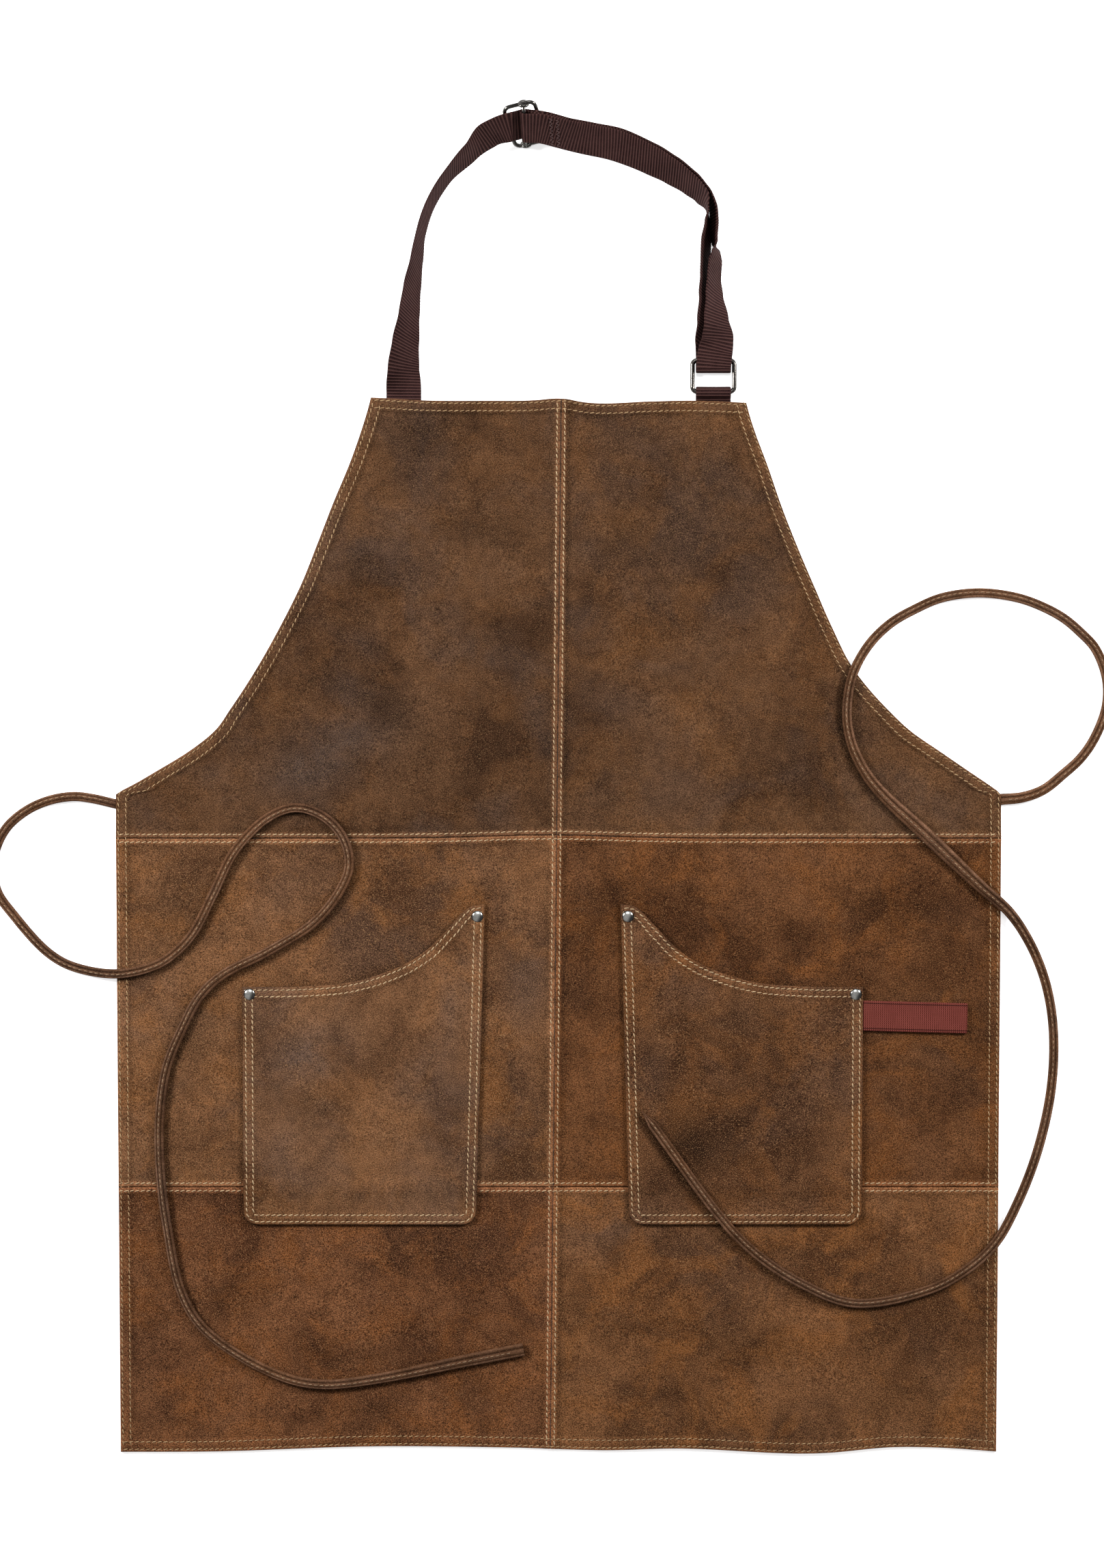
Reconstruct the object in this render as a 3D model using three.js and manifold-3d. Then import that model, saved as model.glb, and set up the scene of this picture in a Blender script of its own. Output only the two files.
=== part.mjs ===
// A leather work apron that lies flat: six sewn panels, two pockets, a neck strap with its ring and slider, and two ties.
// Millimetres, +Z up. Seen from above, +X is to the right and +Y is towards the neck. Heights are given from the waist seam.
import * as THREE from "three";
import { mergeVertices } from "three/addons/utils/BufferGeometryUtils.js";
import Module from "manifold-3d";

const wasm = await Module();
wasm.setup();

// Leather body
const BIB_HEIGHT = 314;
const BIB_TOP_HALF = 134.5;
const WAIST_HALF = 317.5;
const WAIST_STRIP = 33;
const WAIST_PANEL = 250;
const SKIRT_PANEL = 187;
const HEM_TAPER = 3.5;
const HEM_WAVE = 4;
const SEAM_SWAY = 6;
const LEATHER = 1.4;
const HEM_FOLD = 1;
const HEM_WIDTH = 8.5;
const SWELL = 2.6;
const FLAT_SHARE = 0.2;
const GAP = 0.3;

// Pockets and rivets
const POCKET_WIDTH_TOP = 174.5;
const POCKET_WIDTH_BOTTOM = 166.5;
const POCKET_HEIGHT = 170.5;
const POCKET_RISE = 59.5;
const POCKET_INNER_TOP = 48.5;
const POCKET_INNER_BOTTOM = 55;
const POCKET_MOUTH_DROP = 106.5;
const POCKET_CORNER = 10;
const POCKET_BELLY = 1.3;
const POCKET_CLEAR = 0.4;
const RIVET_RADIUS = 4.2;
const RIVET_HEIGHT = 2.3;
const RIVET_INSET = 5.3;
const RIVET_INNER_DROP = 7.6;

// Elastic side band, a loop folded flat
const BAND_WIDTH = 21.5;
const BAND_REACH = 75;
const BAND_THICKNESS = 1;
const BAND_CLEAR = 0.6;
const BAND_BELOW_MOUTH = 20.5;
const BAND_SLOPE_DEG = -1.5;

// Neck strap, its ring and its slider
const WEBBING_WIDTH = 25;
const WEBBING = 1.3;
const NECK_HALF = 111;
const NECK_RISE = 216;
const STRAP_TUCK = 20;
const RING_WIDTH = 33.4;
const RING_HEIGHT = 26;
const RING_WIRE = 3.4;
const RING_CORNER = 5.2;
const TAB_SHOWS = 9.8;
const TAB_SLACK = 0.5;
const FOLD_SLACK = 0.75;
const FOLD_DROP = 5.4;
const SLIDER_LENGTH = 25.5;
const SLIDER_WIRE = 3;
const SLIDER_CORNER = 6;
const SLIDER_PLAY = 0.6;
const SLIDER_LEAN_DEG = 45;
const SLIDER_HEADING_DEG = 4;
const BAR_RADIUS = 1.2;
const FRAME_SKEW_DEG = 6;
const SEWN_END = 27;
const SEWN_DROP = 6;
const SEWN_RISE = 1.2;

// Waist ties
const TIE_WIDTH = 6.8;
const TIE_THICKNESS = 3.6;
const TIE_STEPS = 76;
const TIE_CLEAR = 0.8;

const BODY_HEIGHT = BIB_HEIGHT + WAIST_PANEL + SKIRT_PANEL;
const RAD = Math.PI / 180;

// The bib's sides: down is a share of the height from its top to the waist's corner, left and right are shares of the
// way from BIB_TOP_HALF out to WAIST_HALF.
const BIB_SIDES = [
  { down: 0, left: 0, right: 0 },
  { down: 0.03, left: 0.012, right: 0.012 },
  { down: 0.075, left: 0.033, right: 0.034 },
  { down: 0.16, left: 0.079, right: 0.083 },
  { down: 0.27, left: 0.15, right: 0.142 },
  { down: 0.37, left: 0.21, right: 0.202 },
  { down: 0.475, left: 0.275, right: 0.27 },
  { down: 0.58, left: 0.356, right: 0.34 },
  { down: 0.685, left: 0.447, right: 0.423 },
  { down: 0.79, left: 0.552, right: 0.56 },
  { down: 0.845, left: 0.613, right: 0.65 },
  { down: 0.895, left: 0.71, right: 0.761 },
  { down: 0.948, left: 0.844, right: 0.879 },
  { down: 0.983, left: 0.938, right: 0.958 },
  { down: 1, left: 0.99, right: 0.995 },
];
// The strip between the waist's corner and the waist seam: down is a share of WAIST_STRIP.
const STRIP_ROWS = [0.12, 0.5, 1];
// The wavy bottom edge: across is a share of the half width, drop is a share of HEM_WAVE.
const HEM_LINE = [
  { across: -1, drop: 0.75 },
  { across: -0.8, drop: 0.7 },
  { across: -0.4, drop: -0.25 },
  { across: -0.1, drop: 0 },
  { across: 0.12, drop: 0.45 },
  { across: 0.25, drop: 0.15 },
  { across: 0.6, drop: 0.95 },
  { across: 0.76, drop: -0.1 },
  { across: 0.86, drop: 0 },
  { across: 1, drop: 0.75 },
];
// Soft swells of the leather: across is a share of WAIST_HALF, up a share of BODY_HEIGHT, long and wide are shares of
// BODY_HEIGHT, turn is in degrees and rise is a share of SWELL.
const SWELLS = [
  { across: -0.27, up: 0.27, long: 0.12, wide: 0.065, turn: 62, rise: 0.8 },
  { across: -0.2, up: 0.1, long: 0.13, wide: 0.065, turn: 22, rise: 1 },
  { across: 0.2, up: 0.23, long: 0.13, wide: 0.065, turn: -38, rise: 0.9 },
  { across: 0.45, up: 0.06, long: 0.13, wide: 0.06, turn: 38, rise: 0.75 },
  { across: -0.68, up: 0.02, long: 0.1, wide: 0.06, turn: -12, rise: 0.6 },
  { across: -0.88, up: -0.2, long: 0.11, wide: 0.06, turn: 84, rise: 0.7 },
  { across: -0.06, up: -0.14, long: 0.11, wide: 0.06, turn: 88, rise: 0.65 },
  { across: 0.84, up: -0.13, long: 0.11, wide: 0.06, turn: 70, rise: 0.75 },
  { across: -0.55, up: -0.47, long: 0.13, wide: 0.065, turn: 12, rise: 1 },
  { across: 0.28, up: -0.5, long: 0.12, wide: 0.065, turn: -16, rise: 0.9 },
  { across: 0.82, up: -0.44, long: 0.1, wide: 0.06, turn: 52, rise: 0.7 },
];
// The pocket's mouth: across runs from the outer corner to the inner one, rise is a share of POCKET_RISE.
const MOUTH = [
  { across: 0, rise: 0 },
  { across: 0.25, rise: 0.008 },
  { across: 0.45, rise: 0.06 },
  { across: 0.6, rise: 0.185 },
  { across: 0.7, rise: 0.32 },
  { across: 0.78, rise: 0.49 },
  { across: 0.86, rise: 0.74 },
  { across: 0.93, rise: 0.95 },
  { across: 1, rise: 1 },
];
// The neck strap's two runs: across is a share of NECK_HALF and up a share of NECK_RISE, both to the middle of the
// webbing. lean, in degrees, is how far its right-hand edge turns up from flat, and lift is a share of WEBBING_WIDTH.
const OUTER_RUN_LEFT = [
  { across: -1, up: 0.02, lean: 0, lift: 0 },
  { across: -1, up: 0.105, lean: -28, lift: 0 },
  { across: -0.985, up: 0.19, lean: -42, lift: 0 },
  { across: -0.962, up: 0.28, lean: -56, lift: 0 },
  { across: -0.942, up: 0.37, lean: -63, lift: 0 },
  { across: -0.913, up: 0.46, lean: -72, lift: 0 },
  { across: -0.885, up: 0.55, lean: -78, lift: 0 },
  { across: -0.828, up: 0.64, lean: -79, lift: 0 },
  { across: -0.722, up: 0.73, lean: -78, lift: 0.02 },
  { across: -0.57, up: 0.812, lean: -67, lift: 0.08 },
  { across: -0.45, up: 0.87, lean: -49, lift: 0.22 },
];
const OUTER_RUN_RIGHT = [
  { across: 0.035, up: 0.881, lean: -44, lift: 0.22 },
  { across: 0.207, up: 0.865, lean: -41, lift: 0.1 },
  { across: 0.377, up: 0.848, lean: -38, lift: 0.03 },
  { across: 0.593, up: 0.802, lean: -45, lift: 0 },
  { across: 0.733, up: 0.763, lean: -54, lift: 0 },
  { across: 0.852, up: 0.721, lean: -63, lift: 0 },
  { across: 0.937, up: 0.68, lean: -72, lift: 0 },
  { across: 0.995, up: 0.636, lean: -84, lift: 0 },
  { across: 1.007, up: 0.584, lean: -84, lift: 0 },
  { across: 1.012, up: 0.519, lean: -90, lift: 0 },
  { across: 1.014, up: 0.487, lean: -106, lift: 0 },
  { across: 1.01, up: 0.455, lean: -114, lift: 0 },
  { across: 1.002, up: 0.404, lean: -115, lift: 0 },
  { across: 1.004, up: 0.343, lean: -122, lift: 0.01 },
  { across: 1.017, up: 0.266, lean: -137, lift: 0.03 },
  { across: 1.026, up: 0.2, lean: -158, lift: 0.14 },
  { across: 1.01, up: 0.155, lean: -175, lift: 0.25 },
];
const INNER_RUN = [
  { across: 1, up: 0.15, lean: 0, lift: 0 },
  { across: 0.996, up: 0.172, lean: -5, lift: 0 },
  { across: 0.985, up: 0.2, lean: -20, lift: 0 },
  { across: 0.973, up: 0.267, lean: -42, lift: 0 },
  { across: 0.953, up: 0.344, lean: -62, lift: 0 },
  { across: 0.947, up: 0.404, lean: -70, lift: 0 },
  { across: 0.946, up: 0.455, lean: -72, lift: 0 },
  { across: 0.95, up: 0.519, lean: -72, lift: 0 },
  { across: 0.958, up: 0.58, lean: -80, lift: 0 },
  { across: 0.96, up: 0.627, lean: -90, lift: 0 },
  { across: 0.922, up: 0.671, lean: -110, lift: 0.02 },
  { across: 0.843, up: 0.71, lean: -118, lift: 0.03 },
  { across: 0.724, up: 0.753, lean: -127, lift: 0.04 },
  { across: 0.593, up: 0.791, lean: -136, lift: 0.05 },
  { across: 0.377, up: 0.838, lean: -143, lift: 0.085 },
  { across: 0.206, up: 0.856, lean: -141, lift: 0.15 },
];
const SLIDER_PLACE = { across: -0.217, up: 0.905 };

// The ties' routes, seen from above, from the waist's corner to the free end.
const TIE_LEFT_ROUTE = [
  [-319, 25], [-334, 28.5], [-348, 30], [-366, 27], [-383, 19], [-397, 6], [-405, -14], [-403, -37],
  [-390, -56], [-366, -82], [-348, -92], [-317, -97], [-289, -91], [-275, -82], [-262, -68], [-248, -41],
  [-232, -9], [-208, 15], [-188, 22], [-168, 15.5], [-154, 0], [-150, -20], [-157, -38], [-175, -60],
  [-208, -81], [-241, -98], [-257, -113], [-270, -137], [-281, -165], [-286, -202], [-285, -242],
  [-280, -281], [-271, -323], [-257, -348], [-229, -370], [-193, -387], [-168, -391], [-130, -387],
  [-66, -374], [-25, -366],
];
const TIE_RIGHT_ROUTE = [
  [318.5, 28], [333, 29.5], [348, 35], [362, 46], [375, 58], [385, 73], [393, 95], [393, 115],
  [385, 136], [374, 148], [362, 158], [345, 167], [327, 173], [301, 176], [275, 172.5], [257, 165],
  [238, 154], [222, 138], [211, 118], [207, 98], [207, 82], [211, 65], [220, 47], [232, 32], [263, 3],
  [302, -34], [324, -54], [339, -77], [350, -106], [355, -140], [353, -182], [342, -229], [325, -270],
  [311, -292], [292, -309], [266, -323], [213, -333], [178, -321], [133, -290], [60, -195.5],
];

// Straight-line value of a table's column at a place along another of its columns
function along(rows, from, to, at) {
  const last = rows.length - 1;
  const next = Math.min(last, Math.max(1, rows.findIndex((row) => row[from] >= at)));
  const index = at >= rows[last][from] ? last : next;
  const [a, b] = [rows[index - 1], rows[index]];
  const share = THREE.MathUtils.clamp((at - a[from]) / (b[from] - a[from]), 0, 1);
  return THREE.MathUtils.lerp(a[to], b[to], share);
}

// Half width of the body on one side, left or right, at a height above the waist seam
function halfWidth(side, y) {
  const corner = WAIST_STRIP;
  if (y > corner) {
    const down = (BIB_HEIGHT - y) / (BIB_HEIGHT - corner);
    return THREE.MathUtils.lerp(BIB_TOP_HALF, WAIST_HALF, along(BIB_SIDES, "down", side, down));
  }
  return WAIST_HALF - HEM_TAPER * THREE.MathUtils.clamp(-y / (WAIST_PANEL + SKIRT_PANEL), 0, 1);
}

// The middle seam leans a little from the top of the bib to the bottom hem
function middleSeam(y) {
  return SEAM_SWAY * (THREE.MathUtils.clamp((BIB_HEIGHT - y) / BODY_HEIGHT, 0, 1) * -1.3 + 0.33);
}

function bottomEdge(x) {
  return -WAIST_PANEL - SKIRT_PANEL - HEM_WAVE * along(HEM_LINE, "across", "drop", x / WAIST_HALF);
}

// Height of the leather's underside above the floor: soft swells, and the bib's top resting on the ends of the webbing
function underside(x, y) {
  let height = -SWELL * FLAT_SHARE;
  for (const { across, up, long, wide, turn, rise } of SWELLS) {
    const dx = x - across * WAIST_HALF;
    const dy = y - up * BODY_HEIGHT;
    const u = (dx * Math.cos(turn * RAD) + dy * Math.sin(turn * RAD)) / (long * BODY_HEIGHT);
    const v = (dy * Math.cos(turn * RAD) - dx * Math.sin(turn * RAD)) / (wide * BODY_HEIGHT);
    height += SWELL * rise * Math.exp(-(u * u + v * v) / 2);
  }
  const oneLayer = WEBBING + GAP;
  const reach = NECK_HALF - WEBBING_WIDTH / 2 - STRAP_TUCK / 4;
  const layers = 1 + THREE.MathUtils.clamp((x + reach) / (2 * reach), 0, 1);
  const above = BIB_HEIGHT - STRAP_TUCK * 1.1;
  const hold = THREE.MathUtils.smoothstep(y, above - STRAP_TUCK * 3, above);
  return Math.max(0, height) * (1 - hold) + hold * oneLayer * layers;
}

// Thickness of the leather: doubled by its turned hem near the outer edges
function thicknessAt(x, y) {
  const side = x < middleSeam(y) ? "left" : "right";
  const inFromSide = (halfWidth(side, y) - Math.abs(x)) / slopeOfSide(side, y);
  const inFromEdge = Math.min(inFromSide, BIB_HEIGHT - y, y - bottomEdge(x));
  return LEATHER + HEM_FOLD * THREE.MathUtils.clamp(1 - inFromEdge / HEM_WIDTH, 0, 1);
}

// How much longer a step across the slanting side is than the same step square to it
function slopeOfSide(side, y) {
  const step = HEM_WIDTH / 2;
  const run = halfWidth(side, y - step) - halfWidth(side, y + step);
  return Math.hypot(1, run / (2 * step));
}

function leatherTop(x, y) {
  return underside(x, y) + thicknessAt(x, y);
}

// Turns a geometry's faces round where its volume comes out negative
function outward(geometry) {
  const index = geometry.index.array;
  const points = geometry.getAttribute("position");
  const [a, b, c] = [new THREE.Vector3(), new THREE.Vector3(), new THREE.Vector3()];
  let volume = 0;
  for (let i = 0; i < index.length; i += 3) {
    a.fromBufferAttribute(points, index[i]);
    b.fromBufferAttribute(points, index[i + 1]);
    c.fromBufferAttribute(points, index[i + 2]);
    volume += a.dot(b.cross(c));
  }
  if (volume < 0) {
    for (let i = 0; i < index.length; i += 3) {
      [index[i + 1], index[i + 2]] = [index[i + 2], index[i + 1]];
    }
  }
  geometry.computeVertexNormals();
  return geometry;
}

function geometryOf(points, faces) {
  const geometry = new THREE.BufferGeometry().setFromPoints(points);
  geometry.setIndex(faces);
  return outward(geometry);
}

// A closed sheet between two grids of points, its rim joined by a strip of faces
function sheet(under, over) {
  const rows = under.length;
  const columns = under[0].length;
  const at = (layer, row, column) => (layer * rows + row) * columns + column;
  const faces = [];
  for (let row = 0; row + 1 < rows; row++) {
    for (let column = 0; column + 1 < columns; column++) {
      const [a, b] = [at(1, row, column), at(1, row, column + 1)];
      const [c, d] = [at(1, row + 1, column + 1), at(1, row + 1, column)];
      const down = rows * columns;
      faces.push(a, b, c, a, c, d, a - down, c - down, b - down, a - down, d - down, c - down);
    }
  }
  const rim = [];
  for (let column = 0; column < columns; column++) rim.push([0, column]);
  for (let row = 1; row < rows; row++) rim.push([row, columns - 1]);
  for (let column = columns - 2; column >= 0; column--) rim.push([rows - 1, column]);
  for (let row = rows - 2; row > 0; row--) rim.push([row, 0]);
  rim.forEach(([row, column], i) => {
    const [nextRow, nextColumn] = rim[(i + 1) % rim.length];
    const [a, b] = [at(0, row, column), at(0, nextRow, nextColumn)];
    const [c, d] = [at(1, nextRow, nextColumn), at(1, row, column)];
    faces.push(a, b, c, a, c, d);
  });
  return geometryOf([...under.flat(), ...over.flat()], faces);
}

// A closed skin over a row of equal rings of points, with flat ends unless the row closes on itself
function skin(rings, closed) {
  const sides = rings[0].length;
  const faces = [];
  const spans = closed ? rings.length : rings.length - 1;
  for (let ring = 0; ring < spans; ring++) {
    const [start, end] = [ring * sides, ((ring + 1) % rings.length) * sides];
    for (let side = 0; side < sides; side++) {
      const next = (side + 1) % sides;
      faces.push(start + side, start + next, end + next, start + side, end + next, end + side);
    }
  }
  if (!closed) {
    const last = (rings.length - 1) * sides;
    for (let side = 1; side + 1 < sides; side++) {
      faces.push(0, side + 1, side, last, last + side, last + side + 1);
    }
  }
  return geometryOf(rings.flat(), faces);
}

// One leather panel between two heights, from x0(y) to x1(y), with hem columns where a side is an outer edge
function panel(levels, x0, x1, columns) {
  const under = [];
  const over = [];
  for (const level of levels) {
    const [west, east] = [x0(level), x1(level)];
    const hemWest = west < -BIB_TOP_HALF / 2 ? HEM_WIDTH * slopeOfSide("left", level) : 0;
    const hemEast = east > BIB_TOP_HALF / 2 ? HEM_WIDTH * slopeOfSide("right", level) : 0;
    const places = [west];
    if (hemWest) places.push(west + hemWest);
    for (let i = 1; i < columns; i++) {
      places.push(THREE.MathUtils.lerp(west + hemWest, east - hemEast, i / columns));
    }
    if (hemEast) places.push(east - hemEast);
    places.push(east);
    const heightAt = (x) => (level <= -WAIST_PANEL - SKIRT_PANEL ? bottomEdge(x) : level);
    under.push(places.map((x) => new THREE.Vector3(x, heightAt(x), underside(x, level))));
    over.push(places.map((x) => new THREE.Vector3(x, heightAt(x), leatherTop(x, heightAt(x)))));
  }
  return sheet(under, over);
}

function evenly(from, to, count) {
  return Array.from({ length: count + 1 }, (_, i) => THREE.MathUtils.lerp(from, to, i / count));
}

// Sizes of a pocket at a height above its bottom: its inner edge and its width
function pocketSpan(above) {
  const share = above / (POCKET_HEIGHT + POCKET_RISE);
  const inner = THREE.MathUtils.lerp(POCKET_INNER_BOTTOM, POCKET_INNER_TOP, share);
  const width = THREE.MathUtils.lerp(POCKET_WIDTH_BOTTOM, POCKET_WIDTH_TOP, share);
  return { inner, width };
}

const POCKET_BOTTOM = -POCKET_MOUTH_DROP - POCKET_HEIGHT;

// Where a pocket's point lies: across runs from the outer edge to the inner one, up from the bottom to the mouth
function pocketPoint(mirror, across, up) {
  const mouth = POCKET_HEIGHT + POCKET_RISE * along(MOUTH, "across", "rise", across);
  const { width: widest } = pocketSpan(0);
  const fromSide = widest * Math.min(across, 1 - across);
  const short = Math.max(0, POCKET_CORNER - fromSide);
  const corner = POCKET_CORNER - Math.sqrt(POCKET_CORNER ** 2 - short ** 2);
  const above = THREE.MathUtils.lerp(corner, mouth, up);
  const { inner, width } = pocketSpan(above);
  const y = POCKET_BOTTOM + above;
  const out = inner + width * (1 - across);
  return [middleSeam(POCKET_BOTTOM) + mirror * out, y];
}

// How far a pocket stands off the leather under it
function pocketStand(across, up) {
  return POCKET_CLEAR + POCKET_BELLY * Math.sin(Math.PI * across) * Math.sin((Math.PI / 2) * up);
}

function pocket(mirror) {
  const edge = POCKET_CORNER / POCKET_WIDTH_BOTTOM;
  const acrosses = [0, edge * 0.3, ...evenly(edge, 1 - edge, 7), 1 - edge * 0.3, 1];
  const ups = [0, 0.05, ...evenly(0.16, 0.94, 6), 1];
  const order = mirror > 0 ? [...acrosses].reverse() : acrosses;
  const under = ups.map((up) =>
    order.map((across) => {
      const [x, y] = pocketPoint(mirror, across, up);
      return new THREE.Vector3(x, y, leatherTop(x, y) + pocketStand(across, up));
    }),
  );
  const over = under.map((row) => row.map((p) => p.clone().setZ(p.z + LEATHER)));
  return sheet(under, over);
}

// Height of the uppermost leather at a place, 0 off the apron
function surface(x, y) {
  const side = x < middleSeam(y) ? "left" : "right";
  if (y > BIB_HEIGHT || y < bottomEdge(x) || Math.abs(x) > halfWidth(side, y)) return 0;
  const mirror = side === "left" ? -1 : 1;
  const above = y - POCKET_BOTTOM;
  const { inner, width } = pocketSpan(above);
  const across = 1 - (mirror * (x - middleSeam(POCKET_BOTTOM)) - inner) / width;
  const mouth = POCKET_HEIGHT + POCKET_RISE * along(MOUTH, "across", "rise", across);
  const onPocket = across >= 0 && across <= 1 && above >= 0 && above <= mouth;
  return leatherTop(x, y) + (onPocket ? pocketStand(across, above / mouth) + LEATHER : 0);
}

// A domed rivet head that stands on the pocket at one of its upper corners
function rivet(mirror, across) {
  const { width } = pocketSpan(POCKET_HEIGHT);
  const inset = RIVET_INSET / width;
  const place = across === 0 ? inset : 1 - inset;
  const [x, mouth] = pocketPoint(mirror, place, 1);
  const y = mouth - (across === 0 ? RIVET_INSET : RIVET_INNER_DROP);
  const spots = [0, 1, 2, 3].map((i) => [Math.cos((i * Math.PI) / 2), Math.sin((i * Math.PI) / 2)]);
  const heights = spots.map(([dx, dy]) => surface(x + (dx * RIVET_INSET) / 2, y + (dy * RIVET_INSET) / 2));
  const profile = [new THREE.Vector2(0, 0), new THREE.Vector2(RIVET_RADIUS, 0)];
  for (let i = 1; i <= 4; i++) {
    const turn = (i / 4) * (Math.PI / 2);
    const lip = RIVET_HEIGHT * 0.2;
    const radius = i === 4 ? 0 : RIVET_RADIUS * Math.cos(turn);
    profile.push(new THREE.Vector2(radius, lip + (RIVET_HEIGHT - lip) * Math.sin(turn)));
  }
  const geometry = mergeVertices(plain(new THREE.LatheGeometry(profile, 14)), 1e-4);
  geometry.rotateX(Math.PI / 2);
  geometry.translate(x, y, Math.max(...heights) + GAP);
  return outward(geometry);
}

// A geometry with its positions alone
function plain(geometry) {
  geometry.deleteAttribute("normal");
  geometry.deleteAttribute("uv");
  return geometry;
}

// A rounded rectangle of round wire in the XY plane, centred on the origin
function wireLoop(width, height, wire, corner) {
  const radius = corner - wire / 2;
  const [halfX, halfY] = [width / 2 - corner, height / 2 - corner];
  const rings = [];
  for (let quarter = 0; quarter < 4; quarter++) {
    const signX = quarter === 0 || quarter === 3 ? 1 : -1;
    const signY = quarter < 2 ? 1 : -1;
    for (let i = 0; i <= 4; i++) {
      const turn = (quarter + i / 4) * (Math.PI / 2);
      const out = new THREE.Vector3(Math.cos(turn), Math.sin(turn), 0);
      const middle = new THREE.Vector3(signX * halfX, signY * halfY, 0).addScaledVector(out, radius);
      rings.push(
        evenly(0, 7, 7).map((side) => {
          const spin = (side / 8) * 2 * Math.PI;
          const up = new THREE.Vector3(0, 0, (Math.sin(spin) * wire) / 2);
          return middle.clone().addScaledVector(out, (Math.cos(spin) * wire) / 2).add(up);
        }),
      );
    }
  }
  return skin(rings, true);
}

// The slider's own frame: x along the webbing, y across it, z square to its face, leaning with its far edge up
const BAR_LOOP = SLIDER_WIRE / 2 + GAP + BAR_RADIUS;
const SLIDER_HALF = WEBBING_WIDTH / 2 + SLIDER_PLAY + 2 * BAR_RADIUS + GAP + SLIDER_WIRE / 2;
function sliderFrameAxes() {
  const heading = SLIDER_HEADING_DEG * RAD;
  const lean = SLIDER_LEAN_DEG * RAD;
  const alongWeb = new THREE.Vector3(Math.cos(heading), Math.sin(heading), 0);
  const acrossWeb = new THREE.Vector3(-Math.sin(heading) * Math.cos(lean), Math.cos(heading) * Math.cos(lean), Math.sin(lean));
  const face = new THREE.Vector3().crossVectors(alongWeb, acrossWeb);
  const place = new THREE.Vector3(
    SLIDER_PLACE.across * NECK_HALF,
    BIB_HEIGHT + SLIDER_PLACE.up * NECK_RISE,
    SLIDER_HALF * Math.sin(lean) + BAR_LOOP + BAR_RADIUS,
  );
  return new THREE.Matrix4().makeBasis(alongWeb, acrossWeb, face).setPosition(place);
}
const SLIDER_AXES = sliderFrameAxes();

function solidOf(geometry) {
  const merged = mergeVertices(plain(geometry), 1e-4);
  const mesh = new wasm.Mesh({
    numProp: 3,
    vertProperties: merged.getAttribute("position").array,
    triVerts: new Uint32Array(merged.index.array),
  });
  return new wasm.Manifold(mesh);
}

// The slider's bar: a straight wire whose ends loop round the ends of the frame
function sliderBar() {
  const rod = new THREE.CylinderGeometry(BAR_RADIUS, BAR_RADIUS, 2 * SLIDER_HALF, 8);
  rod.translate(0, 0, BAR_LOOP);
  const loops = [-1, 1].map((end) => {
    const loop = new THREE.TorusGeometry(BAR_LOOP, BAR_RADIUS, 8, 16);
    loop.rotateY(Math.PI / 2);
    loop.translate(0, end * SLIDER_HALF, 0);
    return solidOf(loop);
  });
  const joined = solidOf(rod).add(loops[0]).add(loops[1]).getMesh();
  const geometry = new THREE.BufferGeometry();
  geometry.setAttribute("position", new THREE.BufferAttribute(joined.vertProperties, 3));
  geometry.setIndex(new THREE.BufferAttribute(joined.triVerts, 1));
  return outward(geometry);
}

// Places of a run of the neck strap: its middle, and the way to its right-hand edge
function runStations(rows) {
  const middles = rows.map(({ across, up, lean, lift }) => {
    const high = (WEBBING_WIDTH / 2) * Math.abs(Math.sin(lean * RAD)) + (WEBBING / 2) * Math.abs(Math.cos(lean * RAD));
    return new THREE.Vector3(across * NECK_HALF, BIB_HEIGHT + up * NECK_RISE, high + lift * WEBBING_WIDTH);
  });
  return middles.map((middle, i) => {
    const before = middles[Math.max(0, i - 1)];
    const after = middles[Math.min(middles.length - 1, i + 1)];
    const heading = Math.atan2(after.y - before.y, after.x - before.x);
    const lean = rows[i].lean * RAD;
    const right = new THREE.Vector3(Math.sin(heading) * Math.cos(lean), -Math.cos(heading) * Math.cos(lean), Math.sin(lean));
    return { middle, right };
  });
}

// Stations on the slider, from places along it, off its face and, where given, across it
function sliderStations(places) {
  const right = new THREE.Vector3(0, -1, 0).transformDirection(SLIDER_AXES);
  return places.map(([x, z, y = 0]) => ({ middle: new THREE.Vector3(x, y, z).applyMatrix4(SLIDER_AXES), right }));
}

// The four corners of a band's section
function corners(middle, across, face, width, thickness) {
  const signs = [[-1, -1], [1, -1], [1, 1], [-1, 1]];
  return signs.map(([a, b]) =>
    middle.clone().addScaledVector(across, (a * width) / 2).addScaledVector(face, (b * thickness) / 2),
  );
}

// A band of webbing or elastic through its stations, smoothed, with a rectangular section
function band(stations, width, thickness, steps) {
  const middles = new THREE.CatmullRomCurve3(stations.map(({ middle }) => middle));
  const rights = new THREE.CatmullRomCurve3(stations.map(({ right }) => right), false, "catmullrom", 0);
  const count = (stations.length - 1) * steps;
  const rings = evenly(0, 1, count).map((t) => {
    const middle = middles.getPoint(t);
    const forward = middles.getTangent(t);
    const across = rights.getPoint(t);
    across.addScaledVector(forward, -across.dot(forward)).normalize();
    const face = new THREE.Vector3().crossVectors(across, forward);
    const reach = (Math.abs(across.z) * width + Math.abs(face.z) * thickness) / 2;
    middle.z = Math.max(middle.z, reach);
    return corners(middle, across, face, width, thickness);
  });
  return skin(rings, false);
}

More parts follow.
